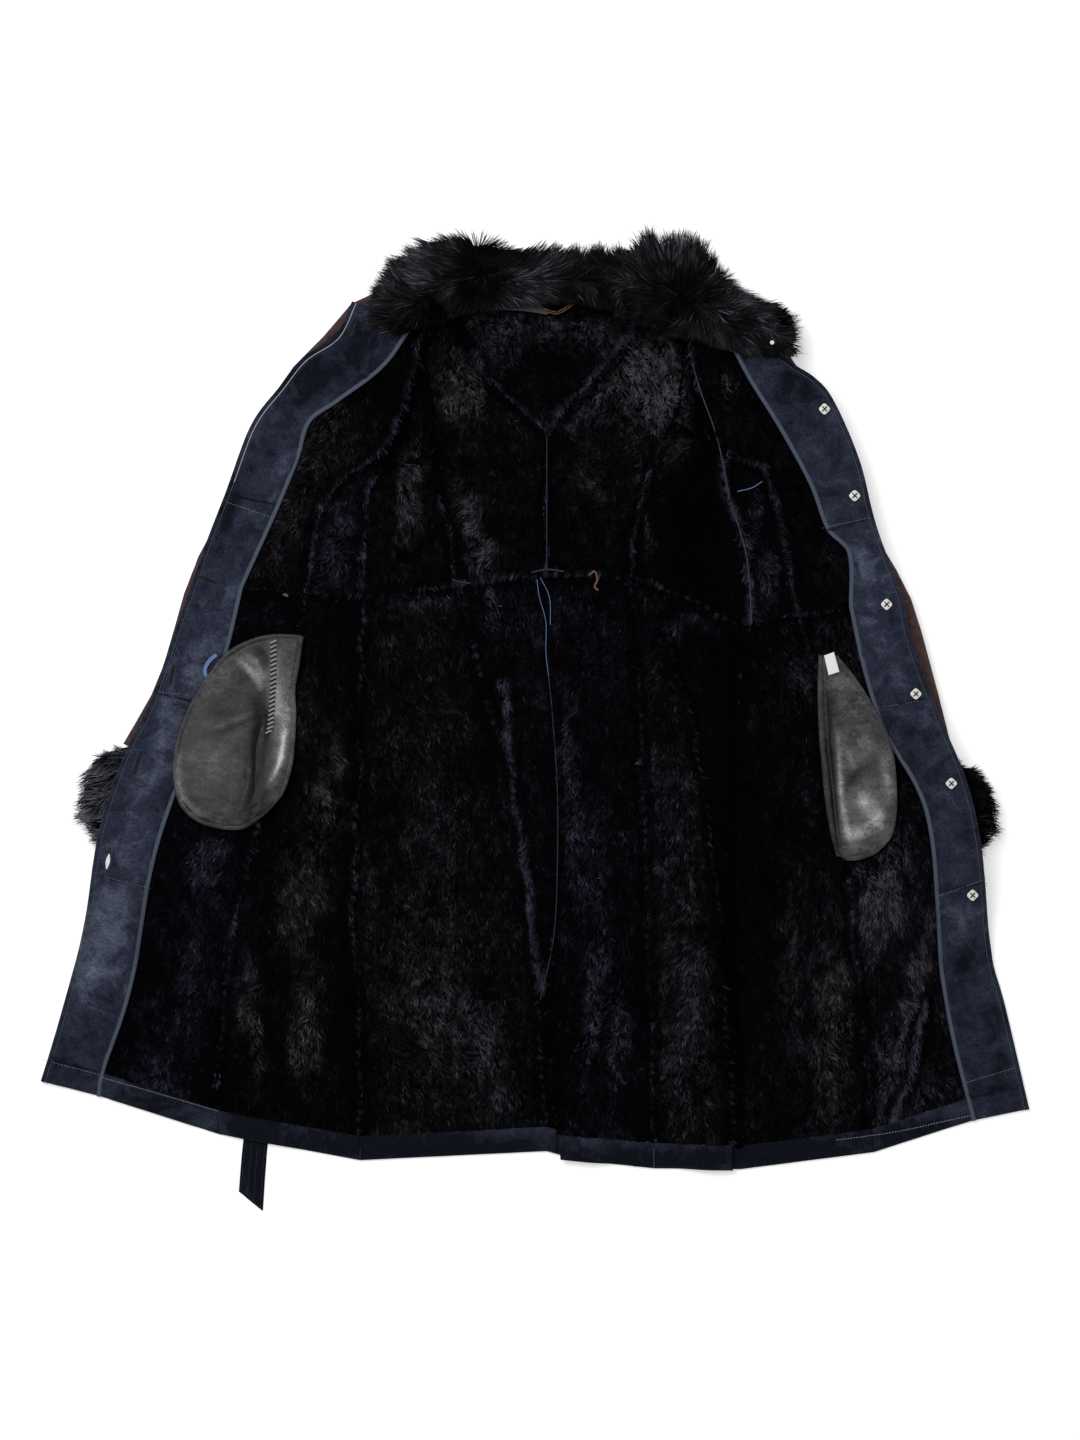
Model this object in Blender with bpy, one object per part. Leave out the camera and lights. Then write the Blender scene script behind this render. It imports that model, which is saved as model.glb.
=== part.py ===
"""A sheepskin coat laid open on its back, lining side up.

The fronts are turned out to the sides and lie over the sleeves. A short-pile shearling lining
faces up, suede facings run down both front edges, and long fur makes the collar and the cuffs.

Tables and sizes are in millimetres: x to the wearer's left hand as seen here on the right,
y toward the collar, z up from the surface that the coat lies on. The origin is on that surface,
under the middle of the coat. MM turns millimetres into Blender's metres.
"""

import math

import bmesh
import bpy
import numpy as np
from mathutils import Vector
from mathutils.bvhtree import BVHTree

MM = 0.001

# ---- driving sizes ---------------------------------------------------------------------------
SHEEPSKIN = 10.0        # skin and clipped pile
SHAVED = 4.5            # sheepskin shaved thin under a facing
SUEDE = 2.5             # facing
HEM_BAND = 6.0          # suede folded over the shaved hem edge
POCKET_LEATHER = 1.8    # one leaf of a pocket bag
SLEEVE_WALL = 9.0       # skin and pile of a sleeve
SLEEVE_HOLLOW = 12.0    # height of the room left in a flattened sleeve
COLLAR_FUR = 34.0       # long fur of the collar
COLLAR_EDGE = 9.0       # the collar's fur at its outline
CUFF_FUR = 15.0         # long fur of a cuff
CUFF_HOLLOW = 11.0      # room left in a flattened cuff
BELT_THICK = 2.8
BUTTON_BACK = 13.0      # across a backing button
BUTTON_BACK_THICK = 2.0
BUTTON = 24.0           # across an outer button
BUTTON_THICK = 4.0
HANGER_RADIUS = 1.6
LABEL_THICK = 0.6

GAP = 0.3               # between pieces that meet or lie on each other
SEAM_SHARE = 0.8        # a seam pinches the pile to this share of its thickness
DRAPE_SLOPE = 0.45      # how steeply stiff sheepskin falls from what it lies on
LAP = 24.0              # how far a panel runs on under a fold
FOLD_SHELF = 32.0       # width of the raised edge of a folded panel
VENT_LAP_SHARE = 0.6    # the vent laps less than the fold

ARMHOLE_ROWS = 5        # grid rows from the shoulder to the underarm
WAIST_ROWS = 6          # from the underarm to the waist
SKIRT_ROWS = (3, 5, 5, 1)   # waist, upper facing seam, lower facing seam, hem band, hem
FACING_TOP_ROW = 8           # the facing's cross seam above the waist
VENT_ROW = 9                 # the back vent opens here
SLEEVE_ROWS = 14
SLEEVE_COLUMNS = 8
SLEEVE_BLEND = 4            # rows over which a sleeve wall leaves its armhole line
CUFF_SIDES = 18             # points round a cuff
CUFF_SECTIONS = 5
COLLAR_COLUMNS = 22         # along the collar
COLLAR_ROWS = 6             # across it
POCKET_ROWS = 9
POCKET_COLUMNS = 5
POCKET_BRIDGE = 10.0        # how far a stiff leather leaf bridges what it lies on
BACK_LEAF_BRIDGE = 18.0     # the back leaf, which the front leaf clears, bridges further
LABEL_BRIDGE = 12.0
COLLAR_BRIDGE = 27.0

# ---- the coat's seams, as (x, y) from the collar down -----------------------------------------
BODICE = {
    "left_front_edge": [(-201, 464), (-219, 427), (-254, 403), (-280, 371), (-312, 328),
                        (-340, 254), (-359, 205), (-374, 162)],
    "left_facing": [(-130, 444), (-165, 393), (-217, 353), (-247, 331), (-260, 290),
                    (-286, 227), (-321, 150)],
    "left_front_armhole": [(-118, 452), (-130, 406), (-142, 359), (-158, 317), (-180, 290)],
    "left_front_seam": [(-180, 290), (-217, 266), (-241, 216), (-251, 145)],
    "left_side": [(-170, 279), (-185, 246), (-188, 206), (-190, 140)],
    "left_back_armhole": [(-151, 475), (-129, 422), (-118, 356), (-113, 301)],
    "left_princess": [(-113, 301), (-99, 227), (-85, 156)],
    "left_yoke": [(-98, 470), (-64, 402), (-21, 355), (14, 326)],
    "centre": [(15, 325), (13, 246), (13, 167)],
    "right_yoke": [(127, 470), (92, 417), (64, 385), (32, 350), (16, 326)],
    "right_princess": [(158, 338), (128, 285), (113, 227), (108, 164)],
    "right_back_armhole": [(176, 462), (170, 422), (166, 378), (158, 338)],
    "right_side": [(208, 288), (215, 248), (222, 206), (238, 113)],
    "right_front_armhole": [(170, 450), (172, 400), (185, 343), (206, 307), (248, 285)],
    "right_front_seam": [(248, 285), (267, 238), (277, 178), (290, 121)],
    "right_facing": [(208, 430), (233, 381), (268, 324), (301, 263), (320, 213), (343, 186),
                     (345, 128)],
    "right_front_edge": [(243, 428), (281, 397), (307, 380), (328, 354), (356, 289),
                         (374, 219), (403, 139)],
}
SKIRT = {
    "left_front_edge": [(-374, 162), (-397, 97), (-424, 20), (-446, -25), (-475, -110),
                        (-497, -215), (-528, -330), (-548, -396)],
    "left_facing": [(-321, 150), (-338, 78), (-363, -1), (-396, -85), (-419, -161),
                    (-449, -299), (-477, -383), (-482, -413)],
    "left_front_seam": [(-251, 145), (-275, -18), (-305, -114), (-338, -256), (-348, -355),
                        (-351, -455)],
    "left_side": [(-190, 140), (-196, -69), (-203, -219), (-197, -332), (-194, -484)],
    "left_fold": [(-85, 156), (-53, 22), (-26, -57), (-11, -189), (3, -309), (13, -474)],
    "centre": [(13, 167), (18, 54), (24, -31), (24, -136), (19, -256), (15, -340), (28, -482)],
    "centre_right": [(108, 164), (116, 26), (124, -182), (129, -332), (132, -493)],
    "right_fold": [(142, 150.7), (150, 75), (169, 22), (188, -84), (198, -163), (208, -295),
                   (219, -494)],
    "right_back": [(238, 113), (226, 33), (216, -84), (213, -163), (218, -295), (228, -494)],
    "right_front_seam": [(290, 121), (316, 26), (336, -117), (343, -182), (359, -295),
                         (376, -475)],
    "right_facing": [(345, 128), (360, 59), (382, -8), (424, -89), (440, -199), (449, -276),
                     (463, -353), (485, -440)],
    "right_front_edge": [(403, 139), (415, 84), (444, 9), (471, -61), (487, -130), (505, -252),
                         (521, -312), (548, -427)],
}
# Share of the skirt's length at which the facing's upper and lower cross seams and the hem band lie.
FACING_SEAMS = {"left": (0.231, 0.590, 0.957), "centre": (0.214, 0.574, 0.957),
                "right": (0.196, 0.558, 0.957)}

# ---- sleeves and cuffs: a row for each section, its outer and inner edge, and the cuff's height
SLEEVES = {
    "left": [((-160, 484), (-170, 281)), ((-200, 467), (-168, 262)), ((-234, 428), (-177, 244)),
             ((-290, 364), (-190, 202)), ((-342, 243), (-209, 153)), ((-381, 164), (-228, 103)),
             ((-415, 52), (-268, 20)), ((-455, -22), (-318, -76))],
    "right": [((206, 466), (210, 291)), ((253, 442), (212, 271)), ((290, 394), (219, 246)),
              ((338, 312), (229, 202)), ((376, 210), (240, 147)), ((412, 147), (260, 87)),
              ((438, 62), (291, 5)), ((464, -40), (325, -88))],
}
ARMHOLES = {     # where each sleeve's two walls start: under the front, and at the back's armhole
    "left": {"top": [(-160, 484), (-152, 462), (-136, 438), (-137, 406), (-149, 359),
                     (-165, 317), (-170, 281)],
             "under": [(-160, 484), (-150, 467), (-132, 422), (-121, 356), (-116, 304),
                       (-142, 295), (-170, 281)]},
    "right": {"top": [(206, 466), (186, 452), (181, 425), (180, 390), (191, 343), (210, 307),
                      (210, 291)],
              "under": [(206, 466), (181, 462), (174, 422), (170, 378), (162, 338), (187, 316),
                        (210, 291)]},
}
CUFFS = {
    "left": [((-455, -22), (-318, -76), 32), ((-486, -34), (-322, -106), 42),
             ((-502, -78), (-334, -146), 45), ((-498, -108), (-350, -176), 42),
             ((-484, -133), (-362, -188), 38)],
    "right": [((464, -40), (325, -88), 32), ((494, -52), (330, -118), 42),
              ((510, -92), (342, -156), 45), ((507, -120), (356, -184), 42),
              ((495, -137), (366, -192), 38)],
}

# ---- what lies on the coat ---------------------------------------------------------------------
COLLAR_TOP = [(-176, 462), (-160, 492), (-148, 513), (-118, 534), (-82, 541), (-38, 529),
              (11, 521), (72, 517), (116, 526), (154, 534), (190, 516), (220, 482), (253, 470),
              (274, 442), (283, 424)]
COLLAR_BOTTOM = [(-172, 438), (-160, 431), (-148, 428), (-113, 440), (-80, 457), (-33, 461),
                 (14, 466), (69, 463), (121, 453), (164, 429), (195, 416), (223, 408),
                 (250, 406), (267, 404), (281, 406)]
POCKETS = {      # each leaf's left and right edge, from the top down
    "left": {"leaf": ([(-285, 97), (-338, 75), (-381, 10), (-394, -51), (-382, -92),
                       (-341, -112)],
                      [(-255, 96), (-266, 37), (-266, -12), (-276, -72), (-300, -100),
                       (-319, -113)]),
             "back_leaf_out": 3.0},
    "right": {"leaf": ([(316, 76), (318, 16), (323, -51), (327, -106), (334, -145)],
                       [(329, 75), (371, 16), (388, -24), (393, -69), (388, -117), (369, -142)]),
              "back_leaf_out": 9.0},
}
CARE_LABEL = [((316, 75), (327, 79)), ((321, 53), (333, 57))]
HANGER = [(-3, 468), (4, 462), (14, 457), (24, 455), (33, 459), (40, 464), (45, 469)]
BUTTONS = [(317, 345), (350, 250), (385, 131), (417, 33), (454, -65), (479, -187)]
BELT = [((-329, -519), (-302, -541)), ((-325, -470), (-297, -470)), ((-316, -392), (-288, -392)),
        ((-291, -139), (-263, -139)), ((-235, 40), (-208, 45)), ((-205, 118), (-180, 132))]

COLOURS = {      # sRGB hex, roughness, metallic
    "navy_shearling": ("12131c", 0.95, 0.0),
    "navy_suede": ("1d2434", 0.9, 0.0),
    "brown_suede": ("3a2c2c", 0.9, 0.0),
    "black_long_fur": ("101218", 0.8, 0.0),
    "black_leather": ("2a2b2c", 0.35, 0.0),
    "aged_bronze": ("7a6048", 0.4, 1.0),
    "ivory_plastic": ("c8c8c4", 0.35, 0.0),
    "white_cloth": ("d8d4cc", 0.85, 0.0),
}


def clear_scene():
    for item in list(bpy.data.objects):
        bpy.data.objects.remove(item)


def material(name):
    """The Principled material of one of the coat's stuffs."""
    if name in bpy.data.materials:
        return bpy.data.materials[name]
    code, roughness, metallic = COLOURS[name]
    channels = [int(code[i:i + 2], 16) / 255 for i in (0, 2, 4)]
    linear = [c / 12.92 if c <= 0.04045 else ((c + 0.055) / 1.055) ** 2.4 for c in channels]
    made = bpy.data.materials.new(name)
    made.use_nodes = True
    shader = made.node_tree.nodes["Principled BSDF"]
    shader.inputs["Base Color"].default_value = (*linear, 1)
    shader.inputs["Roughness"].default_value = roughness
    shader.inputs["Metallic"].default_value = metallic
    return made


# ---- curves and grids --------------------------------------------------------------------------
def smooth(points, shares):
    """Points of a Catmull-Rom curve through the given ones, at shares of its length."""
    p = np.array(points, float)
    p = np.vstack([2 * p[0] - p[1], p, 2 * p[-1] - p[-2]])
    fine = []
    for a, b, c, d in zip(p, p[1:], p[2:], p[3:]):
        for t in np.linspace(0, 1, 12, endpoint=False):
            fine.append(0.5 * (2 * b + (c - a) * t + (2 * a - 5 * b + 4 * c - d) * t ** 2
                               + (3 * b - a - 3 * c + d) * t ** 3))
    fine = np.array(fine + [p[-2]])
    length = np.r_[0, np.cumsum(np.linalg.norm(np.diff(fine, axis=0), axis=1))]
    at = np.asarray(shares) * length[-1]
    return np.stack([np.interp(at, length, fine[:, k]) for k in range(fine.shape[1])], axis=1)


def even(count):
    return np.linspace(0, 1, count + 1)


def across(left, right, columns, left_shelf=0.0, right_shelf=0.0):
    """A grid between two seams. A shelf keeps the outermost column that wide, for a lifted edge."""
    rows = []
    for a, b in zip(left, right):
        width = np.linalg.norm(b - a)
        shares = even(columns)
        if left_shelf:
            shares = np.r_[0, np.linspace(min(left_shelf / width, 0.5), 1, columns)]
        if right_shelf:
            shares = np.r_[np.linspace(0, 1 - min(right_shelf / width, 0.5), columns), 1]
        rows.append(a + shares[:, None] * (b - a))
    return np.array(rows)


def beside(*grids):
    """Grids joined side by side along their common seams."""
    return np.concatenate([grids[0]] + [g[:, 1:] for g in grids[1:]], axis=1)


def above(upper, lower):
    """Two runs of one seam joined end to end."""
    return np.concatenate([upper, lower[1:]])


def grown(rim, distance):
    """A closed rim of (x, y) moved outward by a distance, or inward by a negative one."""
    before, after = rim - np.roll(rim, 1, axis=0), np.roll(rim, -1, axis=0) - rim
    area = np.sum(rim[:, 0] * np.roll(rim[:, 1], -1) - rim[:, 1] * np.roll(rim[:, 0], -1))
    turn = 1 if area > 0 else -1
    normals = []
    for edge in (before, after):
        edge = edge / np.linalg.norm(edge, axis=1)[:, None]
        normals.append(turn * np.stack([edge[:, 1], -edge[:, 0]], axis=1))
    mitre = 1 + np.sum(normals[0] * normals[1], axis=1)
    return rim + distance * (normals[0] + normals[1]) / np.maximum(mitre, 0.4)[:, None]


def rim_of(rows, columns):
    """The grid's outline as (row, column) pairs, all round once."""
    top = [(0, c) for c in range(columns)]
    right = [(r, columns - 1) for r in range(1, rows)]
    bottom = [(rows - 1, c) for c in range(columns - 2, -1, -1)]
    left = [(r, 0) for r in range(rows - 2, 0, -1)]
    return top + right + bottom + left


# ---- solids --------------------------------------------------------------------------------------
built = {}      # name: (points, triangles) in millimetres of each solid that later pieces lie on


def add_object(name, shell, stuff, lies_under=True):
    """Makes the named object of a bmesh in millimetres, with its faces pointing out."""
    bmesh.ops.recalc_face_normals(shell, faces=shell.faces)
    if shell.calc_volume(signed=True) < 0:
        bmesh.ops.reverse_faces(shell, faces=shell.faces)
    if lies_under:
        shell.verts.index_update()
        points = [v.co.copy() for v in shell.verts]
        built[name] = (points, [[v.index for v in f.verts] for f in shell.faces])
    bmesh.ops.scale(shell, vec=(MM, MM, MM), verts=shell.verts)
    mesh = bpy.data.meshes.new(name)
    shell.to_mesh(mesh)
    shell.free()
    mesh.materials.append(material(stuff))
    item = bpy.data.objects.new(name, mesh)
    bpy.context.collection.objects.link(item)
    return item


def sheet(name, xy, under, over, stuff, gap=GAP / 2, lies_under=True):
    """A closed sheet on a grid of (x, y), between two heights, drawn in by the seam gap."""
    rows, columns = xy.shape[:2]
    xy = xy.copy()
    rim = rim_of(rows, columns)
    at = tuple(np.array(rim).T)
    xy[at] = grown(xy[at], -gap)
    shell = bmesh.new()
    low = [[shell.verts.new((*xy[r, c], under[r, c])) for c in range(columns)] for r in range(rows)]
    high = [[shell.verts.new((*xy[r, c], over[r, c])) for c in range(columns)] for r in range(rows)]
    for r in range(rows - 1):
        for c in range(columns - 1):
            for side in (low, high):
                shell.faces.new((side[r][c], side[r + 1][c], side[r + 1][c + 1]))
                shell.faces.new((side[r][c], side[r + 1][c + 1], side[r][c + 1]))
    for (r, c), (s, d) in zip(rim, rim[1:] + rim[:1]):
        shell.faces.new((low[r][c], low[s][d], high[s][d]))
        shell.faces.new((low[r][c], high[s][d], high[r][c]))
    return add_object(name, shell, stuff, lies_under)


def ring(name, sections, around, stuff):
    """A tube with a wall: each section gives its outer and its inner loop of points."""
    shell = bmesh.new()
    loops = [[[shell.verts.new(p) for p in loop] for loop in section] for section in sections]
    for near, far in zip(loops, loops[1:]):
        for skin in (0, 1):
            for k in range(around):
                m = (k + 1) % around
                shell.faces.new((near[skin][k], far[skin][k], far[skin][m]))
                shell.faces.new((near[skin][k], far[skin][m], near[skin][m]))
    for end in (loops[0], loops[-1]):
        for k in range(around):
            m = (k + 1) % around
            shell.faces.new((end[0][k], end[1][k], end[1][m]))
            shell.faces.new((end[0][k], end[1][m], end[0][m]))
    return add_object(name, shell, stuff)


def surface_of(names):
    """A search tree of the named solids, for rays that find their surface."""
    points, triangles = [], []
    for name in names:
        triangles += [[i + len(points) for i in t] for t in built[name][1]]
        points += built[name][0]
    return BVHTree.FromPolygons(points, triangles)


def resting_height(places, reach):
    """How high a piece lies at each place, over all that is built within reach of it."""
    tree = surface_of(built)
    probes = [(0.0, 0.0)] + [(share * reach * math.cos(k * math.tau / 12),
                              share * reach * math.sin(k * math.tau / 12))
                             for share in (0.33, 0.67, 1.0) for k in range(12)]
    heights = np.zeros(places.shape[:2])
    for index in np.ndindex(heights.shape):
        x, y = places[index]
        for dx, dy in probes:
            hit = tree.ray_cast(Vector((x + dx, y + dy, 500)), Vector((0, 0, -1)))[0]
            if hit:
                heights[index] = max(heights[index], hit.z + 2 * GAP)
    return heights


# ---- how the cloth lies over what is under it -----------------------------------------------------
def sleeve_grid(side, wall):
    """The (x, y) grid of one wall of a sleeve, from its own line at the armhole to the cuff."""
    sections = smooth([(*o, *i) for o, i in SLEEVES[side]], even(SLEEVE_ROWS))
    plain = across(sections[:, :2], sections[:, 2:], SLEEVE_COLUMNS)
    mouth = smooth(ARMHOLES[side][wall], even(SLEEVE_COLUMNS))
    fade = np.clip(1 - np.arange(SLEEVE_ROWS + 1) / SLEEVE_BLEND, 0, 1)[:, None, None]
    return plain + fade * (mouth - plain[0])


def support_points():
    """Points on top of the sleeves, cuffs and belt: x, y and the height that clears them."""
    found = []
    for side in ("left", "right"):
        edges = sleeve_grid(side, "top")[:, [0, -1]].reshape(-1, 4)
        mouth = smooth(ARMHOLES[side]["top"], even(20))
        found += [(x, y, 2 * SLEEVE_WALL + SLEEVE_HOLLOW + 4 * GAP) for x, y in mouth]
        for x0, y0, x1, y1 in smooth(edges, even(40)):
            for share in even(10):
                found.append((x0 + share * (x1 - x0), y0 + share * (y1 - y0),
                              2 * SLEEVE_WALL + SLEEVE_HOLLOW + 4 * GAP))
        sections = [(*o, *i, height) for o, i, height in CUFFS[side]]
        for x0, y0, x1, y1, height in smooth(sections, even(14)):
            for share in even(10):
                found.append((x0 + share * (x1 - x0), y0 + share * (y1 - y0),
                              height + 4 * GAP))
    for x0, y0, x1, y1 in smooth([(*a, *b) for a, b in BELT], even(60)):
        for share in even(2):
            found.append((x0 + share * (x1 - x0), y0 + share * (y1 - y0),
                          BELT_THICK + 3 * GAP))
    return np.array(found)


SUPPORTS = support_points()
SUPPORT_REACH = 16.0        # keeps the flat tops a little wider than what carries them
BUTTON_REACH = 26.0         # the strip of the right front that its outer buttons hold up
BUTTON_FADE = 45.0


def lift(xy):
    """The height of the cloth's underside: a tent over the sleeves, the cuffs and the belt."""
    height = np.zeros(xy.shape[:2])
    for index in np.ndindex(height.shape):
        away = np.hypot(*(SUPPORTS[:, :2] - xy[index]).T) - SUPPORT_REACH
        height[index] = max(0, np.max(SUPPORTS[:, 2] - DRAPE_SLOPE * np.maximum(away, 0)))
    return height


def button_lift(xy):
    """What the outer buttons add under the right front edge."""
    row = smooth(BUTTONS, even(30))
    height = np.zeros(xy.shape[:2])
    for index in np.ndindex(height.shape):
        away = np.min(np.hypot(*(row - xy[index]).T)) - BUTTON_REACH
        height[index] = (BUTTON_THICK + GAP) * np.clip(1 - away / BUTTON_FADE, 0, 1)
    return height


def pinched(thickness):
    """A panel's thickness with its seams drawn in."""
    thickness = thickness.copy()
    thickness[[0, -1]] *= SEAM_SHARE
    thickness[1:-1, [0, -1]] *= SEAM_SHARE
    return thickness


# ---- the panels -----------------------------------------------------------------------------------
def bodice_seam(name):
    rows = ARMHOLE_ROWS if "armhole" in name or "yoke" in name else WAIST_ROWS
    return smooth(BODICE[name], even(rows))


def front_line(name):
    """A line down the whole front bodice, from the collar to the waist."""
    return smooth(BODICE[name], even(ARMHOLE_ROWS + WAIST_ROWS))


def skirt_seam(name):
    side = name.split("_")[0]
    marks = (0, *FACING_SEAMS[side], 1)
    shares = [0]
    for start, end, rows in zip(marks, marks[1:], SKIRT_ROWS):
        shares += list(np.linspace(start, end, rows + 1)[1:])
    return smooth(SKIRT[name], shares)


def lap_rise(first_row, rows):
    """By row: how high a folded edge lies, and how far the next panel runs on under it."""
    steps = np.arange(rows + 1) - first_row
    return (SHEEPSKIN + 2 * GAP) * np.clip(steps / 2, 0, 1), LAP * np.clip(steps / 2 - 1, 0, 1)


FACING_COLUMNS = 3
FRONT_COLUMNS = 4
HEM_ROW = sum(SKIRT_ROWS[:3])       # the hem band starts here


def front_grid(side, edge, facing, seam):
    """The front panel's grid: the strip under the facing, then the lining in sight."""
    if side == "left":
        return beside(across(edge, facing, FACING_COLUMNS), across(facing, seam, FRONT_COLUMNS))
    return beside(across(seam, facing, FRONT_COLUMNS), across(facing, edge, FACING_COLUMNS))


def front_thickness(side, xy):
    """Full pile in sight, shaved under the facing."""
    thickness = np.full(xy.shape[:2], SHEEPSKIN)
    strip = slice(0, FACING_COLUMNS + 1) if side == "left" else slice(FRONT_COLUMNS, None)
    thickness[:, strip] = SHAVED
    return pinched(thickness)


def build_panel(name, xy, under, thickness):
    sheet(name, xy, under, under + thickness, "navy_shearling")


def build_bodice():
    """The yoke, the backs, the side panels and the fronts above the waist."""
    yoke = across(bodice_seam("left_yoke"), bodice_seam("right_yoke"), 4)
    flat = np.zeros(yoke.shape[:2])
    build_panel("back_yoke", yoke, flat, pinched(flat + SHEEPSKIN))
    for side in ("left", "right"):
        inner = above(bodice_seam(side + "_yoke"), bodice_seam("centre"))
        outer = above(bodice_seam(side + "_back_armhole"), bodice_seam(side + "_princess"))
        grid = across(*((outer, inner) if side == "left" else (inner, outer)), 4)
        flat = np.zeros(grid.shape[:2])
        build_panel("centre_back_" + side, grid, flat, pinched(flat + SHEEPSKIN))

        princess, side_seam = bodice_seam(side + "_princess"), bodice_seam(side + "_side")
        grid = across(*((side_seam, princess) if side == "left" else (princess, side_seam)), 4)
        away = even(4)[::-1] if side == "left" else even(4)
        under = lift(grid) * np.clip(2 * away, 0, 1)
        build_panel("side_back_" + side, grid, under, pinched(np.full(under.shape, SHEEPSKIN)))

        front_seam = bodice_seam(side + "_front_seam")
        grid = across(*((front_seam, side_seam) if side == "left" else (side_seam, front_seam)), 3)
        under = lift(grid)
        build_panel("side_front_" + side, grid, under, pinched(np.full(under.shape, SHEEPSKIN)))


def build_front(side):
    """One front above and below the waist, its hem band, and the facing pieces that lie on it."""
    seam = above(bodice_seam(side + "_front_armhole"), bodice_seam(side + "_front_seam"))
    upper = front_grid(side, front_line(side + "_front_edge"), front_line(side + "_facing"), seam)
    lower = front_grid(side, skirt_seam(side + "_front_edge"), skirt_seam(side + "_facing"),
                       skirt_seam(side + "_front_seam"))
    strip = slice(0, FACING_COLUMNS + 1) if side == "left" else slice(FRONT_COLUMNS, None)
    tops = []
    for name, grid in (("front_", upper), ("front_skirt_", lower[:HEM_ROW + 1])):
        under = lift(grid)
        if side == "right":
            under += button_lift(grid)
        thickness = front_thickness(side, grid)
        build_panel(name + side, grid, under, thickness)
        tops.append((under + thickness)[:, strip] + GAP)

    band = lower[HEM_ROW:]
    under = lift(band)
    if side == "right":
        under += button_lift(band)
    thick = np.full(band.shape[:2], HEM_BAND)
    thick[:, strip] = SHAVED + GAP + SUEDE
    sheet("hem_band_front_" + side, band, under, under + thick, "navy_suede")

    grid = above(upper[:, strip], lower[:HEM_ROW + 1, strip])
    under = above(*tops)
    waist = len(upper) - 1
    cuts = [0, FACING_TOP_ROW, waist + SKIRT_ROWS[0], waist + sum(SKIRT_ROWS[:2]), waist + HEM_ROW]
    for number, (start, end) in enumerate(zip(cuts, cuts[1:]), 1):
        piece = slice(start, end + 1)
        sheet(f"facing_{side}_{number}", grid[piece], under[piece], under[piece] + SUEDE,
              "navy_suede")


def build_skirt():
    """The skirt panels between the fronts, and the hem bands under them."""
    rows = sum(SKIRT_ROWS)
    fold_rise, fold_lap = lap_rise(0, rows)
    vent_rise, vent_lap = lap_rise(VENT_ROW, rows)
    seam = {name: skirt_seam(name) for name in SKIRT}
    lapped_centre = seam["centre"] + VENT_LAP_SHARE * vent_lap[:, None] * (1, 0)
    lapped_fold = seam["right_fold"] - fold_lap[:, None] * (1, 0)
    panels = {      # name: grid, then how much its left and its right edge are raised by row
        "side_front_skirt_left": (across(seam["left_front_seam"], seam["left_side"], 5), 0, 0),
        "side_back_skirt_left": (across(seam["left_side"], seam["left_fold"], 6), 0, 0),
        "centre_back_skirt_left": (across(seam["left_fold"], lapped_centre, 3), 0, 0),
        "centre_back_skirt_right": (across(seam["centre"], seam["centre_right"], 4, FOLD_SHELF, 0),
                                    vent_rise, 0),
        "pleat_skirt_right": (across(seam["centre_right"], seam["right_fold"], 3, 0, FOLD_SHELF),
                              0, fold_rise),
        "side_back_skirt_right": (across(lapped_fold, seam["right_back"], 3), 0, 0),
        "side_front_skirt_right": (across(seam["right_back"], seam["right_front_seam"], 5), 0, 0),
    }
    under = {}
    for name, (grid, left_rise, right_rise) in panels.items():
        under[name] = lift(grid)
        under[name][:, :2] += np.reshape(left_rise, (-1, 1))
        under[name][:, -2:] += np.reshape(right_rise, (-1, 1))
        fur = slice(0, HEM_ROW + 1)
        build_panel(name, grid[fur], under[name][fur],
                    pinched(np.full(under[name][fur].shape, SHEEPSKIN)))
    bands = {
        "hem_band_side_left": ["side_front_skirt_left"],
        "hem_band_back_left": ["side_back_skirt_left", "centre_back_skirt_left"],
        "hem_band_centre": ["centre_back_skirt_right"],
        "hem_band_pleat": ["pleat_skirt_right"],
        "hem_band_back_right": ["side_back_skirt_right", "side_front_skirt_right"],
    }
    for name, carriers in bands.items():
        grid = beside(*[panels[c][0][HEM_ROW:] for c in carriers])
        height = beside(*[under[c][HEM_ROW:] for c in carriers])
        sheet(name, grid, height, height + HEM_BAND, "navy_suede")


# ---- sleeves, cuffs, collar and the small pieces ---------------------------------------------------
def build_sleeve(side):
    """The top and under sleeve, flattened: a flat under wall and an arched top wall."""
    arch = SLEEVE_HOLLOW * (1 - np.abs(2 * even(SLEEVE_COLUMNS) - 1) ** 2.5)
    for wall in ARMHOLES[side]:
        grid = sleeve_grid(side, wall)
        low = np.zeros(grid.shape[:2])
        if wall == "top":
            low = low + SLEEVE_WALL + GAP + arch
        sheet(f"sleeve_{side}_{wall}", grid, low, low + SLEEVE_WALL, "brown_suede")


def build_cuff(side):
    """A fur cuff: a flattened ring of long fur round the wrist opening."""
    power = 2 / 3.5             # a rounded box rather than an ellipse
    stations = smooth([(*o, *i, h) for o, i, h in CUFFS[side]], even(CUFF_SECTIONS))
    middle = [(s[:2] + s[2:4]) / 2 for s in stations]
    nudge = (middle[1] - middle[0]) / np.linalg.norm(middle[1] - middle[0]) * 2 * GAP
    sections = []
    for number, (x0, y0, x1, y1, height) in enumerate(stations):
        centre = middle[number] + (nudge if number == 0 else 0)
        half = np.array([x1 - x0, y1 - y0]) / 2
        share_in = 1 - CUFF_FUR / np.linalg.norm(half)
        loops = []
        for share, rise in ((1, height / 2), (share_in, CUFF_HOLLOW / 2)):
            loop = []
            for k in range(CUFF_SIDES):
                turn = math.tau * (k + 0.5) / CUFF_SIDES
                wide = math.copysign(abs(math.cos(turn)) ** power, math.cos(turn)) * share
                high = math.copysign(abs(math.sin(turn)) ** power, math.sin(turn)) * rise
                loop.append((*(centre + half * wide), max(0, height / 2 + high)))
            loops.append(loop)
        sections.append(loops)
    ring(f"fur_cuff_{side}", sections, CUFF_SIDES, "black_long_fur")


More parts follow.
